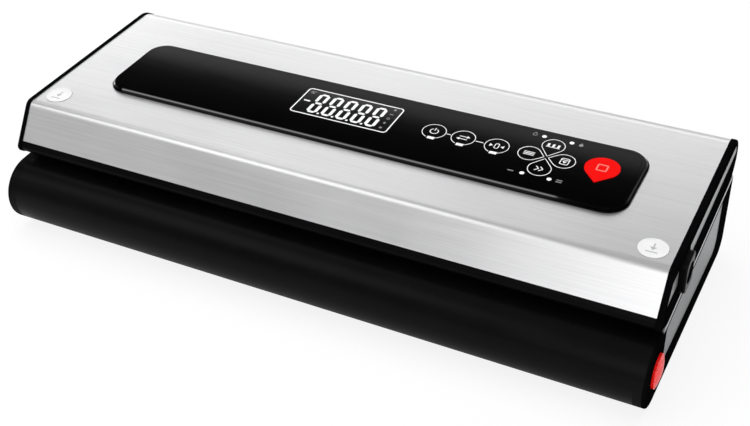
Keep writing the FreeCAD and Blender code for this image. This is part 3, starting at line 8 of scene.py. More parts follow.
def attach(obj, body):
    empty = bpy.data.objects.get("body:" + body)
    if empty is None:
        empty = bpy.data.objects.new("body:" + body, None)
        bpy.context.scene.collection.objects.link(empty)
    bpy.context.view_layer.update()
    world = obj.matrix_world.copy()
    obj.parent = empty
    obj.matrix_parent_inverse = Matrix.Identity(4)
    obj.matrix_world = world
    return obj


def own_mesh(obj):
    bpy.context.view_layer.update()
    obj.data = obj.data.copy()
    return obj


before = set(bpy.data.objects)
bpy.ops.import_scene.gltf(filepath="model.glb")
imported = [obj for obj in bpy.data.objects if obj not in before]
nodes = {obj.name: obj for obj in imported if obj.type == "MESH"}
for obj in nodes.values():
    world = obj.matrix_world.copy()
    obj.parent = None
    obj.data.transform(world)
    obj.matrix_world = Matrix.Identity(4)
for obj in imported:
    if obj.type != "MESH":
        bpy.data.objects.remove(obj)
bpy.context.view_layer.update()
scene = bpy.context.scene
mm = 0.001
print("frame loaded:", len(nodes), "nodes")


def tone(red, green, blue):  # a screen colour, 0 to 255, as the linear colour that a socket takes
    share = np.array([red, green, blue]) / 255
    linear = np.where(share <= 0.04045, share / 12.92, ((share + 0.055) / 1.055) ** 2.4)
    return (*linear.tolist(), 1.0)


# a socket that can stand in an expression: each operator adds one Math node
class Wire:
    def __init__(self, finish, socket):
        self.finish = finish
        self.socket = socket

    def maths(self, operation, first, second=0.0):
        return self.finish.node("ShaderNodeMath", {"operation": operation}, {0: first, 1: second})

    def __add__(self, other):
        return self.maths("ADD", self, other)

    def __radd__(self, other):
        return self.maths("ADD", other, self)

    def __sub__(self, other):
        return self.maths("SUBTRACT", self, other)

    def __rsub__(self, other):
        return self.maths("SUBTRACT", other, self)

    def __mul__(self, other):
        return self.maths("MULTIPLY", self, other)

    def __rmul__(self, other):
        return self.maths("MULTIPLY", other, self)

    def __lt__(self, other):
        return self.maths("LESS_THAN", self, other)

    def sine(self):
        return self.maths("SINE", self)

    def size(self):
        return self.maths("ABSOLUTE", self)


# a node tree being laid out, of a material or of the world
class Finish:
    def __init__(self, owner):
        self.owner = owner
        owner.use_nodes = True
        self.tree = owner.node_tree
        self.tree.nodes.clear()

    def node(self, kind, settings=None, inputs=None, output=0):
        made = self.tree.nodes.new(kind)
        for key, value in (settings or {}).items():
            if key == "stops":  # a ramp keeps two stops from the start, the others are added
                ramp = made.color_ramp.elements
                while len(ramp) < len(value):
                    ramp.new(0.5)
                for stop, (at, colour) in zip(ramp, value):
                    stop.position = at
                    stop.color = colour
            else:
                setattr(made, key, value)
        for key, value in (inputs or {}).items():
            if isinstance(value, Wire):
                self.tree.links.new(value.socket, made.inputs[key])
            else:
                made.inputs[key].default_value = value
        return Wire(self, made.outputs[output]) if made.outputs else None

    def place(self, pitch, turn=(0, 0, 0)):  # Object coordinates counted in pitches, one size or three, in mm
        spot = self.node("ShaderNodeTexCoord", output="Object")
        scale = [1 / (float(size) * mm) for size in np.broadcast_to(pitch, 3)]
        return self.node("ShaderNodeMapping", {}, {"Vector": spot, "Rotation": turn, "Scale": scale})

    def axis(self, which, pitch=1.0):  # one coordinate counted in pitches
        return self.node("ShaderNodeSeparateXYZ", {}, {0: self.place(pitch)}, output=which)

    def noise(self, pitch, detail=2.0, rough=0.5, turn=(0, 0, 0)):
        inputs = {"Vector": self.place(pitch, turn), "Scale": 1.0, "Detail": detail, "Roughness": rough}
        return self.node("ShaderNodeTexNoise", {}, inputs)

    def cells(self, pitch, distance="EUCLIDEAN", scatter=1.0):
        inputs = {"Vector": self.place(pitch), "Scale": 1.0, "Randomness": scatter}
        return self.node("ShaderNodeTexVoronoi", {"feature": "F1", "distance": distance}, inputs)

    def below(self, plane):  # mm under a plane
        normal = plane["axes"][2]
        spot = self.node("ShaderNodeTexCoord", output="Object")
        inputs = {0: spot, 1: normal.tolist()}
        height = self.node("ShaderNodeVectorMath", {"operation": "DOT_PRODUCT"}, inputs, "Value")
        return (float(plane["origin"] @ normal) - height) * (1 / mm)

    def sharpen(self, value, low, high):  # 0 below low, 1 above high, even between
        inputs = {"Value": value, "From Min": low, "From Max": high}
        return self.node("ShaderNodeMapRange", {"clamp": True}, inputs)

    def band(self, value, low, high, soft):  # 1 between low and high, with soft ends inside them
        return self.sharpen(value, low, low + soft) * (1 - self.sharpen(value, high - soft, high))

    def blend(self, share, low, high):  # two colours; 6, 7 and output 2 are the Mix node's colour sockets
        return self.node("ShaderNodeMix", {"data_type": "RGBA"}, {0: share, 6: low, 7: high}, output=2)

    def shades(self, share, look):  # from a look's dark colour to its light one
        return self.blend(share, tone(*look["dark"]), tone(*look["light"]))

    def bump(self, height, depth):  # depth in mm of one unit of height
        return self.node("ShaderNodeBump", {}, {"Strength": 1.0, "Distance": depth * mm, "Height": height})

    def surface(self, inputs):
        shader = self.node("ShaderNodeBsdfPrincipled", {}, inputs)
        self.node("ShaderNodeOutputMaterial", {}, {"Surface": shader})
        return self.owner


def newFinish(name):
    return Finish(bpy.data.materials.new(name))


def faceArrays(name):  # corners, normals and areas of a node's triangles
    mesh = nodes[name].data
    count = len(mesh.polygons)
    spots = np.empty(len(mesh.vertices) * 3)
    mesh.vertices.foreach_get("co", spots)
    corners = np.empty(count * 3, dtype=np.int64)
    mesh.polygons.foreach_get("vertices", corners)
    normals = np.empty(count * 3)
    mesh.polygons.foreach_get("normal", normals)
    areas = np.empty(count)
    mesh.polygons.foreach_get("area", areas)
    return spots.reshape(-1, 3)[corners.reshape(-1, 3)], normals.reshape(-1, 3), areas


flat = {"upward": 0.9, "slack": 0.02}  # least upward share of a top's normal, and mm off its plane


# the flat top of a node: the normal of its largest upward face, the middle of all faces in that
# plane, the slope's own direction and half the sizes across and along
def flatTop(name):
    corners, normals, areas = faceArrays(name)
    largest = np.argmax(areas * (normals[:, 2] > flat["upward"]))
    normal = normals[largest]
    level = corners[largest, 0] @ normal
    inPlane = np.all(np.abs(corners @ normal - level) < flat["slack"] * mm, axis=1)
    spots = corners[inPlane].reshape(-1, 3)
    across = np.array([1.0, 0.0, 0.0])
    along = np.cross(normal, across)
    along /= np.linalg.norm(along)
    sides = np.stack([spots @ across, spots @ along])
    low, high = sides.min(axis=1), sides.max(axis=1)
    middle = (low + high) / 2
    origin = across * middle[0] + along * middle[1] + normal * level
    return {"origin": origin, "axes": np.stack([across, along, normal]), "half": (high - low) / 2 / mm}


# rolled metal with a brushed grain: long thin noise in colour, roughness and height
brushing = {"fine": 0.62, "broad": 0.38, "grain": 0.8, "cloud": 0.2, "range": (0.3, 0.7)}


def brushedMetal(name, look):
    finish = newFinish(name)
    fine = finish.noise(look["grain"], 3.0, 0.6)
    broad = finish.noise(look["streak"])
    cloud = finish.noise(look["cloud"])
    grain = fine * brushing["fine"] + broad * brushing["broad"]
    shade = finish.sharpen(grain * brushing["grain"] + cloud * brushing["cloud"], *brushing["range"])
    return finish.surface({
        "Base Color": finish.shades(shade, look),
        "Metallic": look["metallic"],
        "Roughness": look["rough"] + (cloud - 0.5) * look["swing"] + (grain - 0.5) * look["swing"],
        "Normal": finish.bump(grain, look["depth"]),
    })


# moulded skin: fine erosion over a slow mottle, with the colour and the gloss that follow from them
moulding = {"mottle": 0.65, "skin": 0.35, "range": (0.32, 0.68)}


def mouldedSkin(finish, look):
    skin = finish.noise(look["skin"], 2.0, 0.55)
    mottle = finish.noise(look["mottle"], 3.0, 0.6)
    share = finish.sharpen(mottle * moulding["mottle"] + skin * moulding["skin"], *moulding["range"])
    return skin, finish.shades(share, look), look["rough"] + (mottle - 0.5) * look["swing"]


def mouldedPlastic(name, look):
    finish = newFinish(name)
    skin, colour, rough = mouldedSkin(finish, look)
    return finish.surface({
        "Base Color": colour,
        "Metallic": look.get("metallic", 0.0),
        "Roughness": rough,
        "Specular IOR Level": look.get("shine", 0.5),
        "Normal": finish.bump(skin, look["depth"]),
    })


# moulded plastic with a painted highlight, a thin light grey line just under the plane that is given,
# polished and part metallic, on the outer side behind the nose; the rim inside the outer side is as glossy as
# the housing beside it
def edgedPlastic(name, look, plane):
    finish = newFinish(name)
    skin, colour, rough = mouldedSkin(finish, look)
    behind = finish.sharpen(finish.axis(1), *look["behind"])
    outer = finish.sharpen(finish.axis(0).size(), *look["outer"])
    # the painted highlight: a thin band under the plane, coloured light grey on the black cap
    edge = (1 - finish.sharpen(finish.below(plane) + skin * look["wander"], *look["edge"])) * behind * outer
    return finish.surface({
        "Base Color": finish.blend(edge, colour, tone(*look["paintedHighlight"])),
        "Metallic": edge * look["edgeMetal"],
        "Roughness": rough - edge * look["edgePolish"],
        "Specular IOR Level": look["shine"],
        "Coat Weight": (1 - outer) * look["rim"],
        "Coat Roughness": look["rimRough"],
        "Normal": finish.bump(skin, look["depth"]),
    })


# polished plastic: a clear skin with a faint long wave and fine wiping marks in its gloss, and, where
# a plane is given, a lacquered band on the bevel under it
polish = {"narrow": 0.12, "turn": (0, 0, 0.5), "lacquer": 1.8}


def polishedPlastic(name, look, plane=None):
    finish = newFinish(name)
    wave = finish.noise(look["wave"], 1.0, 0.4)
    narrow = look["wipe"] * polish["narrow"]
    wipe = finish.noise((look["wipe"], narrow, narrow), 2.0, 0.6, polish["turn"])
    return finish.surface({
        "Base Color": finish.shades(wave, look),
        "Roughness": look["rough"] + (wipe - 0.5) * look["swing"],
        "Specular IOR Level": look["shine"],
        "Coat Weight": finish.band(finish.below(plane), *look["band"]) if plane else 0.0,
        "Coat IOR": polish["lacquer"],
        "Normal": finish.bump(wave, look["depth"]),
    })


# closed-cell foam: rounded cells of two sizes, darker where they meet
def foamRubber(name, look):
    finish = newFinish(name)
    small = finish.cells(look["cell"])
    large = finish.cells(look["largeCell"])
    skin = 1 - finish.sharpen(small * 0.7 + large * 0.3, *look["range"])
    return finish.surface({
        "Base Color": finish.shades(skin, look),
        "Roughness": look["rough"] - skin * look["swing"],
        "Specular IOR Level": look["shine"],
        "Normal": finish.bump(skin, look["depth"]),
    })


# coated glass cloth: two sets of rounded threads that pass over and under each other
def wovenTape(name, look):
    finish = newFinish(name)
    warp = (finish.axis(0, look["thread"]) * math.tau).sine()
    weft = (finish.axis(1, look["thread"]) * math.tau).sine()
    over = warp * weft
    dye = finish.noise(look["dye"], 3.0, 0.6)
    shade = finish.sharpen(over * look["weave"] + dye, *look["range"])
    return finish.surface({
        "Base Color": finish.shades(shade, look),
        "Roughness": look["rough"] - over * look["swing"],
        "Normal": finish.bump(over, look["depth"]),
    })


# pressed paper laminate: fibres along the bar in two browns
def pressedLaminate(name, look):
    finish = newFinish(name)
    fibre = finish.noise(look["fibre"], 3.0, 0.6)
    fleck = finish.noise(look["fleck"])
    return finish.surface({
        "Base Color": finish.shades(fibre * 0.7 + fleck * 0.3, look),
        "Roughness": look["rough"] + (fleck - 0.5) * look["swing"],
        "Normal": finish.bump(fibre, look["depth"]),
    })


# zinc plating: crystal patches that differ a little in colour and gloss, with fine scratches
def zincPlate(name, look):
    finish = newFinish(name)
    patch = finish.cells(look["patch"])
    scratch = finish.noise(look["scratch"], 2.0, 0.6, look["scratchTurn"])
    return finish.surface({
        "Base Color": finish.shades(1 - patch, look),
        "Metallic": 1.0,
        "Roughness": look["rough"] + patch * look["swing"] + (scratch - 0.5) * look["swing"],
        "Normal": finish.bump(scratch, look["depth"]),
    })


# stacked core sheets: thin lines across the stack under patchy varnish
def stackedSheets(name, look):
    finish = newFinish(name)
    line = (finish.axis(0, look["sheet"]) * math.tau).sine()
    varnish = finish.noise(look["varnish"], 3.0, 0.6)
    shade = finish.sharpen(line * look["relief"] + varnish, *look["range"])
    return finish.surface({
        "Base Color": finish.shades(shade, look),
        "Metallic": look["metallic"],
        "Roughness": look["rough"] - varnish * look["swing"],
        "Normal": finish.bump(line, look["depth"]),
    })


# circuit board: square-cornered tracks a shade lighter than the mask, with tinned dots
def circuitBoard(name, look):
    finish = newFinish(name)
    track = finish.cells(look["track"], "MANHATTAN", look["scatter"])
    lane = finish.sharpen((track * look["lanes"]).sine(), *look["range"])
    dot = finish.cells(look["dot"]) < look["dotSize"]
    return finish.surface({
        "Base Color": finish.blend(dot, finish.shades(lane, look), tone(*look["tin"])),
        "Metallic": dot * look["metallic"],
        "Roughness": look["rough"] - lane * look["swing"],
        "Normal": finish.bump(lane + dot, look["depth"]),
    })


# print and lamp windows: an opaque ink with a faint screen texture
ink = {"mesh": 0.35, "swing": 0.15, "depth": 0.004}


def screenInk(name, look):
    finish = newFinish(name)
    mesh = finish.noise(ink["mesh"])
    return finish.surface({
        "Base Color": finish.shades(mesh, look),
        "Roughness": look["rough"] + (mesh - 0.5) * ink["swing"],
        "Normal": finish.bump(mesh, ink["depth"]),
    })


# looks: colours on the screen's scale, patterns and bump depths in mm
print("finishes: start")
steelLook = {"dark": (212, 212, 213), "light": (234, 234, 235), "grain": (34, 0.2, 0.2),
             "streak": (120, 1.2, 1.2), "cloud": (70, 40, 40), "metallic": 1.0, "rough": 0.38,
             "swing": 0.1, "depth": 0.0016}
alloyLook = {"dark": (170, 164, 156), "light": (206, 200, 190), "grain": (22, 0.16, 0.16),
             "streak": (60, 0.6, 0.6), "cloud": (18, 6, 6), "metallic": 1.0, "rough": 0.28,
             "swing": 0.18, "depth": 0.004}
satinLook = {"dark": (5, 5, 6), "light": (10, 10, 11), "skin": 0.45, "mottle": 34,
             "rough": 0.32, "swing": 0.1, "depth": 0.006, "shine": 0.06}
frameLook = {**satinLook, "shine": 0.03}
capLook = {"dark": (5, 5, 6), "light": (12, 12, 13), "skin": 0.45, "mottle": 34,
           "rough": 0.5, "swing": 0.1, "depth": 0.006, "shine": 0.0}
# base end caps: black, with a painted highlight line in light grey along the top edge behind the nose
edgeLook = {**capLook, "edge": (1.0, 1.4), "behind": (-56, -53), "outer": (193.3, 193.6), "wander": 0.2,
            "paintedHighlight": (206, 206, 208), "edgeMetal": 0.6, "edgePolish": 0.15, "rim": 0.12, "rimRough": 0.32}
portLook = {"dark": (6, 6, 7), "light": (12, 12, 13), "skin": 0.5, "mottle": 12,
            "rough": 0.3, "swing": 0.1, "depth": 0.006, "shine": 0.05}
deckLook = {"dark": (26, 26, 27), "light": (36, 36, 38), "skin": 0.7, "mottle": 26,
            "rough": 0.55, "swing": 0.12, "depth": 0.02, "shine": 0.4}
sideLook = {"dark": (112, 113, 115), "light": (134, 135, 137), "skin": 0.3, "mottle": 22,
            "rough": 0.36, "swing": 0.1, "depth": 0.006, "metallic": 0.55}
trayLook = {"dark": (52, 53, 55), "light": (66, 67, 69), "skin": 0.55, "mottle": 24,
            "rough": 0.48, "swing": 0.12, "depth": 0.014}
blackPartLook = {"dark": (28, 28, 29), "light": (40, 40, 41), "skin": 0.5, "mottle": 14,
                 "rough": 0.46, "swing": 0.14, "depth": 0.01}
rubberLook = {"dark": (26, 26, 26), "light": (38, 37, 36), "skin": 0.4, "mottle": 9,
              "rough": 0.72, "swing": 0.12, "depth": 0.02, "shine": 0.3}
discLook = {"dark": (220, 220, 220), "light": (232, 232, 232), "skin": 0.4, "mottle": 7,
            "rough": 0.42, "swing": 0.1, "depth": 0.005}
siliconeLook = {"dark": (160, 52, 40), "light": (184, 66, 50), "skin": 1.2, "mottle": 16,
                "rough": 0.5, "swing": 0.12, "depth": 0.01}
hoseLook = {"dark": (206, 206, 200), "light": (226, 226, 220), "skin": 1.5, "mottle": 12,
            "rough": 0.38, "swing": 0.1, "depth": 0.01}
glossLook = {"dark": (1, 1, 2), "light": (4, 3, 4), "wave": 40, "wipe": 26,
             "rough": 0.075, "swing": 0.03, "depth": 0.012, "shine": 0.066}
bezelLook = {**glossLook, "band": (0.2, 1.05, 0.25)}
lensLook = {"dark": (4, 4, 5), "light": (9, 10, 11), "wave": 30, "wipe": 20,
            "rough": 0.08, "swing": 0.04, "depth": 0.006, "shine": 0.22}
redLook = {"dark": (240, 12, 6), "light": (252, 20, 12), "wave": 9, "wipe": 8,
           "rough": 0.24, "swing": 0.08, "depth": 0.006, "shine": 0.3}
keyLook = {"dark": (226, 4, 2), "light": (238, 10, 5), "wave": 9, "wipe": 8,
           "rough": 0.36, "swing": 0.08, "depth": 0.004, "shine": 0.02}
foamLook = {"dark": (42, 42, 42), "light": (86, 86, 86), "cell": 0.55, "largeCell": 0.55 * 2.3,
            "range": (0.1, 0.8), "rough": 0.85, "swing": 0.12, "depth": 0.09, "shine": 0.35}
tapeLook = {"dark": (150, 104, 56), "light": (194, 150, 96), "thread": 0.9, "dye": 6, "weave": 0.25,
            "range": (0.2, 0.8), "rough": 0.42, "swing": 0.08, "depth": 0.05}
laminateLook = {"dark": (92, 56, 32), "light": (142, 96, 60), "fibre": (9, 0.5, 0.12),
                "fleck": (1.1, 0.7, 0.7), "rough": 0.45, "swing": 0.2, "depth": 0.02}
zincLook = {"dark": (190, 192, 194), "light": (222, 222, 220), "patch": 1.6, "scratch": (7, 0.1, 0.1),
            "scratchTurn": (0.2, 0.1, 0.6), "rough": 0.24, "swing": 0.12, "depth": 0.004}
canLook = {**zincLook, "dark": (176, 178, 180), "light": (204, 205, 206), "patch": 3.4,
           "scratch": (16, 0.1, 0.1), "rough": 0.3, "depth": 0.005}
coreLook = {"dark": (66, 66, 70), "light": (128, 126, 124), "sheet": 0.5, "varnish": 4, "relief": 0.3,
            "range": (0.2, 0.9), "metallic": 0.5, "rough": 0.55, "swing": 0.2, "depth": 0.03}
boardLook = {"dark": (14, 84, 44), "light": (28, 122, 66), "tin": (206, 206, 200), "track": 3.2,
             "scatter": 0.8, "lanes": 14.0, "range": (0.1, 0.4), "dot": 2.6, "dotSize": 0.16,
             "metallic": 0.9, "rough": 0.42, "swing": 0.08, "depth": 0.03}

finishes = {
    "steel": (brushedMetal("brushed_steel", steelLook), ["lid_skin"]),
    "satin": (mouldedPlastic("satin_black", satinLook), ["base_housing"]),
    "frame": (mouldedPlastic("frame_black", frameLook), ["lid_frame"]),
    "cap": (mouldedPlastic("cap_black", capLook), ["lid_end_cap_left", "lid_end_cap_right"]),
    # base end caps, black with a painted highlight line along their top edge
    "edge": (edgedPlastic("cap_edged", edgeLook, flatTop("base_end_cap_right")),
             ["base_end_cap_left", "base_end_cap_right"]),
    "port": (mouldedPlastic("port_black", portLook), ["accessory_port"]),
    "deck": (mouldedPlastic("deck_black", deckLook), ["base_deck", "lid_underplate"]),
    "side": (mouldedPlastic("side_grey", sideLook),
             ["base_side_inset_left", "base_side_inset_right",
              "lid_side_inset_left", "lid_side_inset_right"]),
    "gloss": (polishedPlastic("panel_gloss", glossLook), ["control_panel_face"]),
    "bezel": (polishedPlastic("bezel_gloss", bezelLook, flatTop("control_panel_face")),
              ["control_panel_bezel"]),
    "lens": (polishedPlastic("display_lens", lensLook), ["display_lcd"]),
    "red": (polishedPlastic("button_red", redLook), ["release_button_left", "release_button_right"]),
    "key": (polishedPlastic("key_red", keyLook), ["stop_key"]),
    "disc": (mouldedPlastic("disc_white", discLook), ["push_pads"]),
    "foam": (foamRubber("gasket_foam", foamLook), ["lower_gasket", "upper_gasket"]),
    "silicone": (mouldedPlastic("seal_silicone", siliconeLook), ["seal_pad"]),
    "tape": (wovenTape("glass_cloth", tapeLook), ["ptfe_tape"]),
    "alloy": (brushedMetal("heating_alloy", alloyLook), ["heating_element"]),
    "laminate": (pressedLaminate("pressed_laminate", laminateLook), ["heat_bar"]),
    "tray": (mouldedPlastic("tray_plastic", trayLook), ["drip_tray"]),
    "zinc": (zincPlate("zinc_plate", zincLook),
             ["hinge_pins", "lid_screws", "base_screws", "load_cells", "button_spring_left",
              "button_spring_right", "pump_crank", "lid_catch_left", "lid_catch_right"]),
    "inner": (mouldedPlastic("inner_black", blackPartLook),
              ["latch_slider_left", "latch_slider_right", "lid_switch", "switch_plunger",
               "air_inlet", "pump_head"]),
    "can": (zincPlate("motor_can", canLook), ["pump_motor", "solenoid_valve"]),
    "core": (stackedSheets("core_sheets", coreLook), ["transformer"]),
    "board": (circuitBoard("circuit_board", boardLook), ["power_board", "control_board"]),
    "rubber": (mouldedPlastic("black_rubber", rubberLook), ["feet", "pump_mounts", "cord_gland"]),
    "hose": (mouldedPlastic("hose_silicone", hoseLook), ["pump_hose", "valve_hose"]),
}
for material, names in finishes.values():
    for name in names:
        for slot in nodes[name].material_slots:
            slot.material = material
bare = sorted(set(nodes) - {name for _, names in finishes.values() for name in names})
print("finishes:", len(finishes), "on", len(nodes), "nodes, left bare:", bare)

# button springs, with the buttons' travel and the joint of each spring's button listed; each gets a mesh of
# its own
springs = {"travel": 2.5, "joints": {"button_spring_right": "release_right_press",
                                     "button_spring_left": "release_left_press"}}
for name, joint in springs["joints"].items():
    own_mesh(nodes[name])


# quads between the neighbours of a grid of points
def gridFaces(rows, columns, closedRows=False, closedColumns=True):
    row = np.arange(rows if closedRows else rows - 1)[:, None]
    column = np.arange(columns if closedColumns else columns - 1)[None, :]
    nextRow = (row + 1) % rows
    nextColumn = (column + 1) % columns
    ring = [row * columns + column, row * columns + nextColumn,
            nextRow * columns + nextColumn, nextRow * columns + column]
    return np.stack(ring, axis=-1).reshape(-1, 4)


inkLevels = {"low": -0.03, "high": 0.05}  # mm about the surface that carries the print


# a line of print: a flat box profile carried along a path in the plane, whose corners stand half
# the width to each side of the path along its own normal
def line(path, width, closed=False):
    path = np.asarray(path, dtype=float)
    if closed:
        run = np.roll(path, -1, axis=0) - np.roll(path, 1, axis=0)
    else:
        run = np.gradient(path, axis=0)
    run /= np.linalg.norm(run, axis=1, keepdims=True)
    side = np.stack([-run[:, 1], run[:, 0]], axis=1) * width / 2
    flat = np.stack([path + side, path - side, path - side, path + side], axis=1)
    level = np.array([inkLevels["high"], inkLevels["high"], inkLevels["low"], inkLevels["low"]])
    level = np.broadcast_to(level, (len(path), 4))
    spots = np.concatenate([flat, level[..., None]], axis=2).reshape(-1, 3)
    faces = gridFaces(len(path), 4, closed).tolist()
    if not closed:
        last = 4 * (len(path) - 1)
        faces += [[3, 2, 1, 0], [last, last + 1, last + 2, last + 3]]
    return spots, faces


# a filled mark: an outline seen from above, carried from the low to the high level and closed by
# fans about its middle
def patch(outline):
    outline = np.asarray(outline, dtype=float)
    count = len(outline)
    low = np.column_stack([outline, np.full(count, inkLevels["low"])])
    high = np.column_stack([outline, np.full(count, inkLevels["high"])])
    middle = outline.mean(axis=0)
    poles = [[*middle, inkLevels["low"]], [*middle, inkLevels["high"]]]
    spots = np.concatenate([low, high, poles])
    here = np.arange(count)
    after = np.roll(here, -1)
    walls = np.stack([here, after, after + count, here + count], axis=1)
    floor = np.stack([after, here, np.full(count, 2 * count)], axis=1)
    roof = np.stack([here + count, after + count, np.full(count, 2 * count + 1)], axis=1)
    return spots, walls.tolist() + floor.tolist() + roof.tolist()


def arc(middle, radius, start=0.0, end=360.0, steps=48):  # circle points: middle + radius (cos, sin)
    turn = np.radians(np.linspace(start, end, steps, endpoint=abs(end - start) < 360))
    return np.column_stack([middle[0] + radius * np.cos(turn), middle[1] + radius * np.sin(turn)])


def box(middle, width, height):
    signs = np.array([[-1, -1], [1, -1], [1, 1], [-1, 1]])
    return np.asarray(middle) + signs * np.array([width, height]) / 2


def roundedBox(middle, width, height, radius, steps=9):  # four quarter circles joined by straight sides
    signs = [(1, 1), (-1, 1), (-1, -1), (1, -1)]
    inset = np.array([width / 2 - radius, height / 2 - radius])
    corners = [arc(np.asarray(middle) + sign * inset, radius, 90 * k, 90 * k + 90, steps)
               for k, sign in enumerate(signs)]
    return np.concatenate(corners)


# a drop: the circle from one tangent point round to the other, then straight to the tip and back
def drop(middle, radius, tip, steps=40):
    middle, tip = np.asarray(middle, float), np.asarray(tip, float)
    reach = np.linalg.norm(tip - middle)
    heading = math.degrees(math.atan2(*(tip - middle)[::-1]))
    half = math.degrees(math.acos(radius / reach))
    around = arc(middle, radius, heading + half, heading + 360 - half, steps)
    sideSteps = 6
    toTip = np.linspace(around[-1], tip, sideSteps)[1:]
    fromTip = np.linspace(tip, around[0], sideSteps)[1:-1]
    return np.concatenate([around, toTip, fromTip])


# put a list of shapes into one mesh, laid on a plane; a shape that is inside out is turned round
def laidPiece(name, plane, shapes, material, body):
    allSpots, allFaces, start = [], [], 0
    for spots, faces in shapes:
        triples = np.array([[f[0], f[k], f[k + 1]] for f in faces for k in range(1, len(f) - 1)])
        a, b, c = (spots[triples[:, k]] for k in range(3))
        if np.sum(a * np.cross(b, c)) < 0:
            faces = [f[::-1] for f in faces]
        allSpots.append(spots)
        allFaces += [[index + start for index in f] for f in faces]
        start += len(spots)
    spots = plane["origin"] + np.concatenate(allSpots) * mm @ plane["axes"]
    mesh = bpy.data.meshes.new(name)
    mesh.from_pydata(spots.tolist(), [], allFaces)
    mesh.update()
    piece = bpy.data.objects.new(name, mesh)
    mesh.materials.append(material)
    scene.collection.objects.link(piece)
    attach(piece, body)


whiteInk = screenInk("ink_white", {"dark": (236, 236, 236), "light": (248, 248, 248), "rough": 0.4})
greyInk = screenInk("ink_grey", {"dark": (120, 120, 122), "light": (136, 136, 138), "rough": 0.45})
discInk = screenInk("ink_disc", {"dark": (168, 168, 170), "light": (184, 184, 186), "rough": 0.5})
redInk = screenInk("ink_red", {"dark": (255, 104, 92), "light": (255, 124, 112), "rough": 0.4})

panel = flatTop("control_panel_face")

# display: a frame, five digits with every bar lit, points and a minus; mm from the panel's middle
display = {"middle": (-11.7, 3.3), "size": (61.0, 25.5), "corner": 2.0, "frameLine": 0.75,
           "digits": 5, "left": -33.3, "pitch": 9.25, "bottom": -7.2, "top": 13.0, "width": 6.8,
           "bar": 1.95, "gap": 0.1, "slim": 0.86, "minus": (-37.7, 3.4), "minusSize": (3.8, 1.2),
           "point": 0.75, "pointX": 1.25, "pointY": 0.8}


def digitBars(look, left):  # the seven bars of one digit, as long boxes with pointed ends
    low, high, bar = look["bottom"], look["top"], look["bar"]
    middle = (low + high) / 2
    right = left + look["width"]
    end = bar / 2 + look["gap"]
    shapes = []
    h = bar / 2
    for y0, y1 in ((low, middle), (middle, high)):
        for x in (left + bar / 2, right - bar / 2):
            a, b = y0 + end, y1 - end
            shapes.append(patch([(x - h, a + h), (x, a), (x + h, a + h),
                                 (x + h, b - h), (x, b), (x - h, b - h)]))
    h *= look["slim"]
    for y in (low + bar / 2, middle, high - bar / 2):
        a, b = left + end, right - end
        shapes.append(patch([(a, y), (a + h, y - h), (b - h, y - h),
                             (b, y), (b - h, y + h), (a + h, y + h)]))
    return shapes


frameOutline = roundedBox(display["middle"], *display["size"], display["corner"])
shapes = [line(frameOutline, display["frameLine"], True)]
for k in range(display["digits"]):
    left = display["left"] + k * display["pitch"]
    shapes += digitBars(display, left)
    if k < display["digits"] - 1:
        spot = (left + display["width"] + display["pointX"], display["bottom"] + display["pointY"])
        shapes.append(patch(arc(spot, display["point"], steps=16)))
shapes.append(patch(box(display["minus"], *display["minusSize"])))
laidPiece("display_print", panel, shapes, whiteInk, "lid")

# small marks in the display: a pan scale at the top left and a column of unit marks
panScale = {"x": -38.4, "panY": 13.2, "pan": 1.8, "footY": 11.6, "foot": 1.2, "line": 0.5}
units = {"x": 14.2, "dotY": 13.4, "dot": 0.9, "dashY": 8.6, "dash": (2.2, 0.6),
         "ringY": 4.2, "ring": 0.8, "ringLine": 0.4, "dropY": -0.7, "drop": 0.7, "dropTip": 0.7,
         "squareY": -5.6, "square": 1.5}


def levelLine(x, y, half, width):  # print from half to the left of a middle to half to its right
    return line([(x - half, y), (x + half, y)], width)


marks = [levelLine(panScale["x"], panScale["panY"], panScale["pan"], panScale["line"]),
         line([(panScale["x"], panScale["panY"]), (panScale["x"], panScale["footY"])], panScale["line"]),
         levelLine(panScale["x"], panScale["footY"], panScale["foot"], panScale["line"]),
         patch(arc((units["x"], units["dotY"]), units["dot"], steps=12)),
         patch(box((units["x"], units["dashY"]), *units["dash"])),
         line(arc((units["x"], units["ringY"]), units["ring"], steps=16), units["ringLine"], True),
         patch(drop((units["x"], units["dropY"]), units["drop"], (units["x"], units["dropTip"]))),
         patch(box((units["x"], units["squareY"]), units["square"], units["square"]))]
laidPiece("display_marks", panel, marks, greyInk, "lid")
print("display: frame, digits and marks")

# touch keys: rings joined by dashes, each with a tab at its foot; mm from the panel's middle
keys = {"rings": ((43.3, 2.6), (60.6, 2.8), (80.3, 2.5)), "radius": 6.7, "line": 0.4,
        "tabs": ((44.0, -3.9), (61.2, -3.9), (80.7, -4.1)), "tab": (4.2, 2.2), "tabGap": 2,
        "dashes": ((51.9, 2.8, 2.5), (70.3, 2.5, 4.5)), "dashLine": 0.55}
# clover keys: four drops that point to one hub
clover = {"hub": (108.3, 2.8), "petals": ((98.8, 3.1), (108.3, 14.2), (118.0, 2.9), (108.6, -8.3)),
          "radius": 6.2, "tipGap": 1.2, "line": 0.4}
lamps = {"spots": ((100.6, 21.0), (116.3, 20.8), (101.6, -15.3), (116.5, -15.1)), "radius": 1.3}

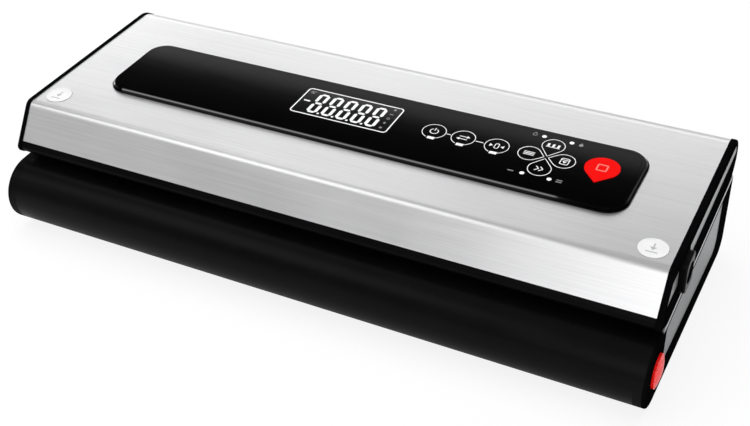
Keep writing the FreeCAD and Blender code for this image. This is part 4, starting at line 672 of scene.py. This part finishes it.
shapes = []
cut = math.degrees(math.asin(keys["tab"][0] / 2 / keys["radius"])) + keys["tabGap"]
for middle, tab in zip(keys["rings"], keys["tabs"]):
    shapes.append(line(arc(middle, keys["radius"], -90 + cut, 270 - cut, 64), keys["line"]))
    shapes.append(patch(box(tab, *keys["tab"])))
for x, y, length in keys["dashes"]:
    shapes.append(levelLine(x, y, length / 2, keys["dashLine"]))
hub = np.array(clover["hub"])
for petal in np.array(clover["petals"]):
    tip = hub + (petal - hub) * clover["tipGap"] / np.linalg.norm(petal - hub)
    shapes.append(line(drop(petal, clover["radius"], tip, 56), clover["line"], True))
for spot in lamps["spots"]:
    shapes.append(patch(arc(spot, lamps["radius"], steps=28)))
laidPiece("key_print", panel, shapes, whiteInk, "lid")

# icons in the keys, in mm from each key's middle
stroke = 0.5
power = {"radius": 2.3, "turns": (120, 420), "stem": (0.6, 3.2)}
swap = {"rise": 1.2, "half": 2.6, "tip": 3.6, "head": 1.8, "spread": 1.2}
zero = {"tip": 2.2, "head": 1.9, "spread": 1.3, "size": (2.2, 4.4), "corner": 1.0}
weld = {"rows": (-1.3, 0.0, 1.3), "middle": -0.2, "half": 3.0, "bold": 0.7}
pulse = {"columns": (-2.8, 0.0, 2.8), "column": (1.3, 2.6), "rise": 0.4, "footY": -1.4, "foot": 3.8}
bag = {"shift": 0.6, "size": (4.4, 5.4), "corner": 0.8, "seamY": 1.3, "seam": 2.0,
       "arrowY": 0.2, "arrow": 1.3, "arrowTip": -1.7}
speed = {"chevrons": (-1.3, 1.1), "back": 1.0, "ahead": 0.9, "rise": 1.9}

(powerX, powerY), (swapX, swapY), (zeroX, zeroY) = keys["rings"]
(weldX, weldY), (pulseX, pulseY), (bagX, bagY), (speedX, speedY) = clover["petals"]
icons = [line(arc((powerX, powerY), power["radius"], *power["turns"], 30), stroke),
         line([(powerX, powerY + y) for y in power["stem"]], stroke)]
for side in (1, -1):
    y = swapY + side * swap["rise"]
    icons.append(levelLine(swapX, y, swap["half"], stroke))
    tip = swapX + side * swap["tip"]
    tail = tip - side * swap["head"]
    icons.append(patch([(tip, y), (tail, y + swap["spread"]), (tail, y - swap["spread"])]))
    tip = zeroX + side * zero["tip"]
    tail = tip + side * zero["head"]
    icons.append(patch([(tip, zeroY), (tail, zeroY + zero["spread"]), (tail, zeroY - zero["spread"])]))
icons.append(line(roundedBox((zeroX, zeroY), *zero["size"], zero["corner"]), stroke, True))
for row in weld["rows"]:
    width = stroke if row else weld["bold"]
    icons.append(levelLine(weldX + weld["middle"], weldY + row, weld["half"], width))
for column in pulse["columns"]:
    icons.append(patch(box((pulseX + column, pulseY + pulse["rise"]), *pulse["column"])))
icons.append(levelLine(pulseX, pulseY + pulse["footY"], pulse["foot"], stroke))
bagX += bag["shift"]
arrowY = bagY + bag["arrowY"]
icons.append(line(roundedBox((bagX, bagY), *bag["size"], bag["corner"]), stroke, True))
icons.append(levelLine(bagX, bagY + bag["seamY"], bag["seam"], stroke))
icons.append(patch([(bagX - bag["arrow"], arrowY), (bagX + bag["arrow"], arrowY),
                    (bagX, bagY + bag["arrowTip"])]))
for chevron in speed["chevrons"]:
    tail, tip = speedX + chevron - speed["back"], speedX + chevron + speed["ahead"]
    for side in (1, -1):
        icons.append(line([(tail, speedY + side * speed["rise"]), (tip, speedY)], stroke))
laidPiece("key_icons", panel, icons, whiteInk, "lid")

# faint marks beside the lamps: an empty and a full drop, one bar and two bars
labels = {"spots": ((95.2, 21.6), (121.6, 20.8), (95.2, -15.4), (121.8, -14.9)), "line": 0.4,
          "dropY": -0.4, "dropTip": 1.7, "dry": 1.1, "wet": 1.2, "bar": 1.6, "slow": 0.8, "fast": 0.7,
          "fastY": 0.8}
(dryX, dryY), (wetX, wetY), (slowX, slowY), (fastX, fastY) = labels["spots"]


def labelDrop(x, y, radius):
    return drop((x, y + labels["dropY"]), radius, (x, y + labels["dropTip"]))


faint = [line(labelDrop(dryX, dryY, labels["dry"]), labels["line"], True),
         patch(labelDrop(wetX, wetY, labels["wet"])),
         levelLine(slowX, slowY, labels["bar"], labels["slow"]),
         levelLine(fastX, fastY + labels["fastY"], labels["bar"], labels["fast"]),
         levelLine(fastX, fastY - labels["fastY"], labels["bar"], labels["fast"])]
laidPiece("lamp_marks", panel, faint, greyInk, "lid")
print("keys: rings, clover, lamps and icons")

# stop key: a square in the round part of the drop
stopMark = {"side": 5.2, "corner": 0.5, "line": 0.8}
stopTop = flatTop("stop_key")
stopY = stopTop["half"][1] - stopTop["half"][0]
stopSquare = roundedBox((0, stopY), stopMark["side"], stopMark["side"], stopMark["corner"])
laidPiece("stop_mark", stopTop, [line(stopSquare, stopMark["line"], True)], redInk, "lid")

# push discs: an arrow down to a bar
pushMark = {"shaft": (3.6, 0.2), "headY": 0.6, "head": 1.7, "tipY": -1.9, "barY": -3.3, "bar": 3.0,
            "line": 0.75}
padTop = flatTop("push_pads")
padX = padTop["half"][0] - padTop["half"][1]
shapes = []
for x in (-padX, padX):
    shapes.append(line([(x, y) for y in pushMark["shaft"]], pushMark["line"]))
    shapes.append(patch([(x - pushMark["head"], pushMark["headY"]), (x, pushMark["tipY"]),
                         (x + pushMark["head"], pushMark["headY"])]))
    shapes.append(levelLine(x, pushMark["barY"], pushMark["bar"], pushMark["line"]))
laidPiece("push_marks", padTop, shapes, discInk, "lid")
print("stop and push marks")


# floor: a flat square grid, pale, with the light paths that show it topped up to white
floorLook = {"reach": 7.0, "steps": 15, "level": -0.0002, "dark": (246, 246, 246), "light": (250, 250, 250),
             "grain": 900, "lift": 0.85, "mirrorLift": 0.08}


def paleFloor(look):
    steps = np.linspace(-look["reach"], look["reach"], look["steps"])
    across, along = np.meshgrid(steps, steps)
    spots = np.column_stack([across.ravel(), along.ravel(), np.full(across.size, look["level"])])
    mesh = bpy.data.meshes.new("floor")
    mesh.from_pydata(spots.tolist(), [], gridFaces(len(steps), len(steps), False, False).tolist())
    mesh.update()
    finish = newFinish("floor_pale")
    rays = [finish.node("ShaderNodeLightPath", output=name)
            for name in ("Is Camera Ray", "Is Glossy Ray", "Is Transmission Ray")]
    grain = finish.noise(look["grain"], 1.0, 0.4)
    paint = finish.node("ShaderNodeBsdfDiffuse", {}, {"Color": finish.shades(grain, look)})
    glow = finish.node("ShaderNodeEmission", {}, {"Color": (1, 1, 1, 1), "Strength": 1.0})
    share = rays[0] * look["lift"] + (rays[1] + rays[2]) * look["mirrorLift"]
    mixed = finish.node("ShaderNodeMixShader", {}, {0: share, 1: paint, 2: glow})
    finish.node("ShaderNodeOutputMaterial", {}, {"Surface": mixed})
    mesh.materials.append(finish.owner)
    floor = bpy.data.objects.new("floor", mesh)
    scene.collection.objects.link(floor)


paleFloor(floorLook)

# soft boxes, in metres: where each stands, the spot it faces, its sides and its radiance; the top one
# lights the machine but isn't mirrored in the steel
machine = (0.0, 0.0, 0.05)
boxes = {
    "back": {"place": (-1.22, 2.0, 1.22), "aim": (-1.22, 0.0, 1.22), "size": (3.35, 0.92), "radiance": 1.95},
    "backLeft": {"place": (-2.3, 1.2, 0.55), "aim": machine, "size": (1.8, 1.1), "radiance": 2.2},
    "highLeft": {"place": (-0.95, 0.65, 1.65), "aim": machine, "size": (1.5, 0.8), "radiance": 1.1},
    "front": {"place": (0.2, -1.75, 1.0), "aim": machine, "size": (1.0, 1.1), "radiance": 2.4},
    "frontLeft": {"place": (-0.95, -1.0, 1.5), "aim": machine, "size": (1.3, 0.8), "radiance": 2.2},
    "lowLeft": {"place": (-1.4, -1.2, 0.85), "aim": machine, "size": (0.5, 0.6), "radiance": 0.8},
    "right": {"place": (1.9, -1.1, 0.6), "aim": machine, "size": (1.8, 1.4), "radiance": 1.8},
    "top": {"place": (0.0, 0.0, 2.4), "aim": (0.0, 0.0, 0.0), "size": (2.4, 2.4), "radiance": 2.0,
            "mirrored": False},
}


def softBox(name, look):
    lamp = bpy.data.lights.new(name, "AREA")
    lamp.shape = "RECTANGLE"
    lamp.size, lamp.size_y = look["size"]
    lamp.energy = look["radiance"] * math.pi * look["size"][0] * look["size"][1]
    stand = bpy.data.objects.new(name, lamp)
    stand.location = look["place"]
    away = Vector(look["place"]) - Vector(look["aim"])
    stand.rotation_euler = away.to_track_quat("Z", "Y").to_euler()
    stand.visible_camera = False
    stand.visible_glossy = look.get("mirrored", True)
    scene.collection.objects.link(stand)


for name, look in boxes.items():
    softBox(name, look)

# room: pale near the horizon, dark above it and grey overhead
room = {"levels": (0.7, 0.3, 0.03, 0.03, 0.5), "heights": (0.0, 0.2, 0.46, 0.76, 0.9)}


def paintRoom(look):
    world = bpy.data.worlds.new("room")
    scene.world = world
    finish = Finish(world)
    heading = finish.node("ShaderNodeTexCoord", output="Generated")
    height = finish.node("ShaderNodeSeparateXYZ", {}, {0: heading}, output="Z")
    stops = [(place, (level,) * 3 + (1,)) for place, level in zip(look["heights"], look["levels"])]
    colour = finish.node("ShaderNodeValToRGB", {"stops": stops}, {"Fac": height})
    glow = finish.node("ShaderNodeBackground", {}, {"Color": colour, "Strength": 1.0})
    finish.node("ShaderNodeOutputWorld", {}, {"Surface": glow})


paintRoom(room)

# camera where the photograph was taken from; the roll is small
view = {"place": (0.276151, -0.502358, 0.414092), "azimuth": 27.8496, "elevation": 34.5967,
        "roll": -1.5366, "lens": 56.93, "sensor": 36.0, "near": 0.01}


def setCamera(look):
    turn, lift, roll = (math.radians(look[key]) for key in ("azimuth", "elevation", "roll"))
    ahead = -Vector((math.sin(turn) * math.cos(lift), -math.cos(turn) * math.cos(lift), math.sin(lift)))
    right = ahead.cross(Vector((0, 0, 1))).normalized()
    up = right.cross(ahead)
    tilted = right * math.cos(roll) + up * math.sin(roll)
    upright = up * math.cos(roll) - right * math.sin(roll)
    lens = bpy.data.cameras.new("photo_camera")
    lens.sensor_fit = "HORIZONTAL"
    lens.sensor_width = look["sensor"]
    lens.lens = look["lens"]
    lens.clip_start = look["near"]
    camera = bpy.data.objects.new("photo_camera", lens)
    turned = Matrix((tilted, upright, -ahead)).transposed().to_4x4()
    camera.matrix_world = Matrix.Translation(look["place"]) @ turned
    scene.collection.objects.link(camera)
    scene.camera = camera


setCamera(view)
scene.view_settings.view_transform = "Standard"
print("floor, light, room and camera")
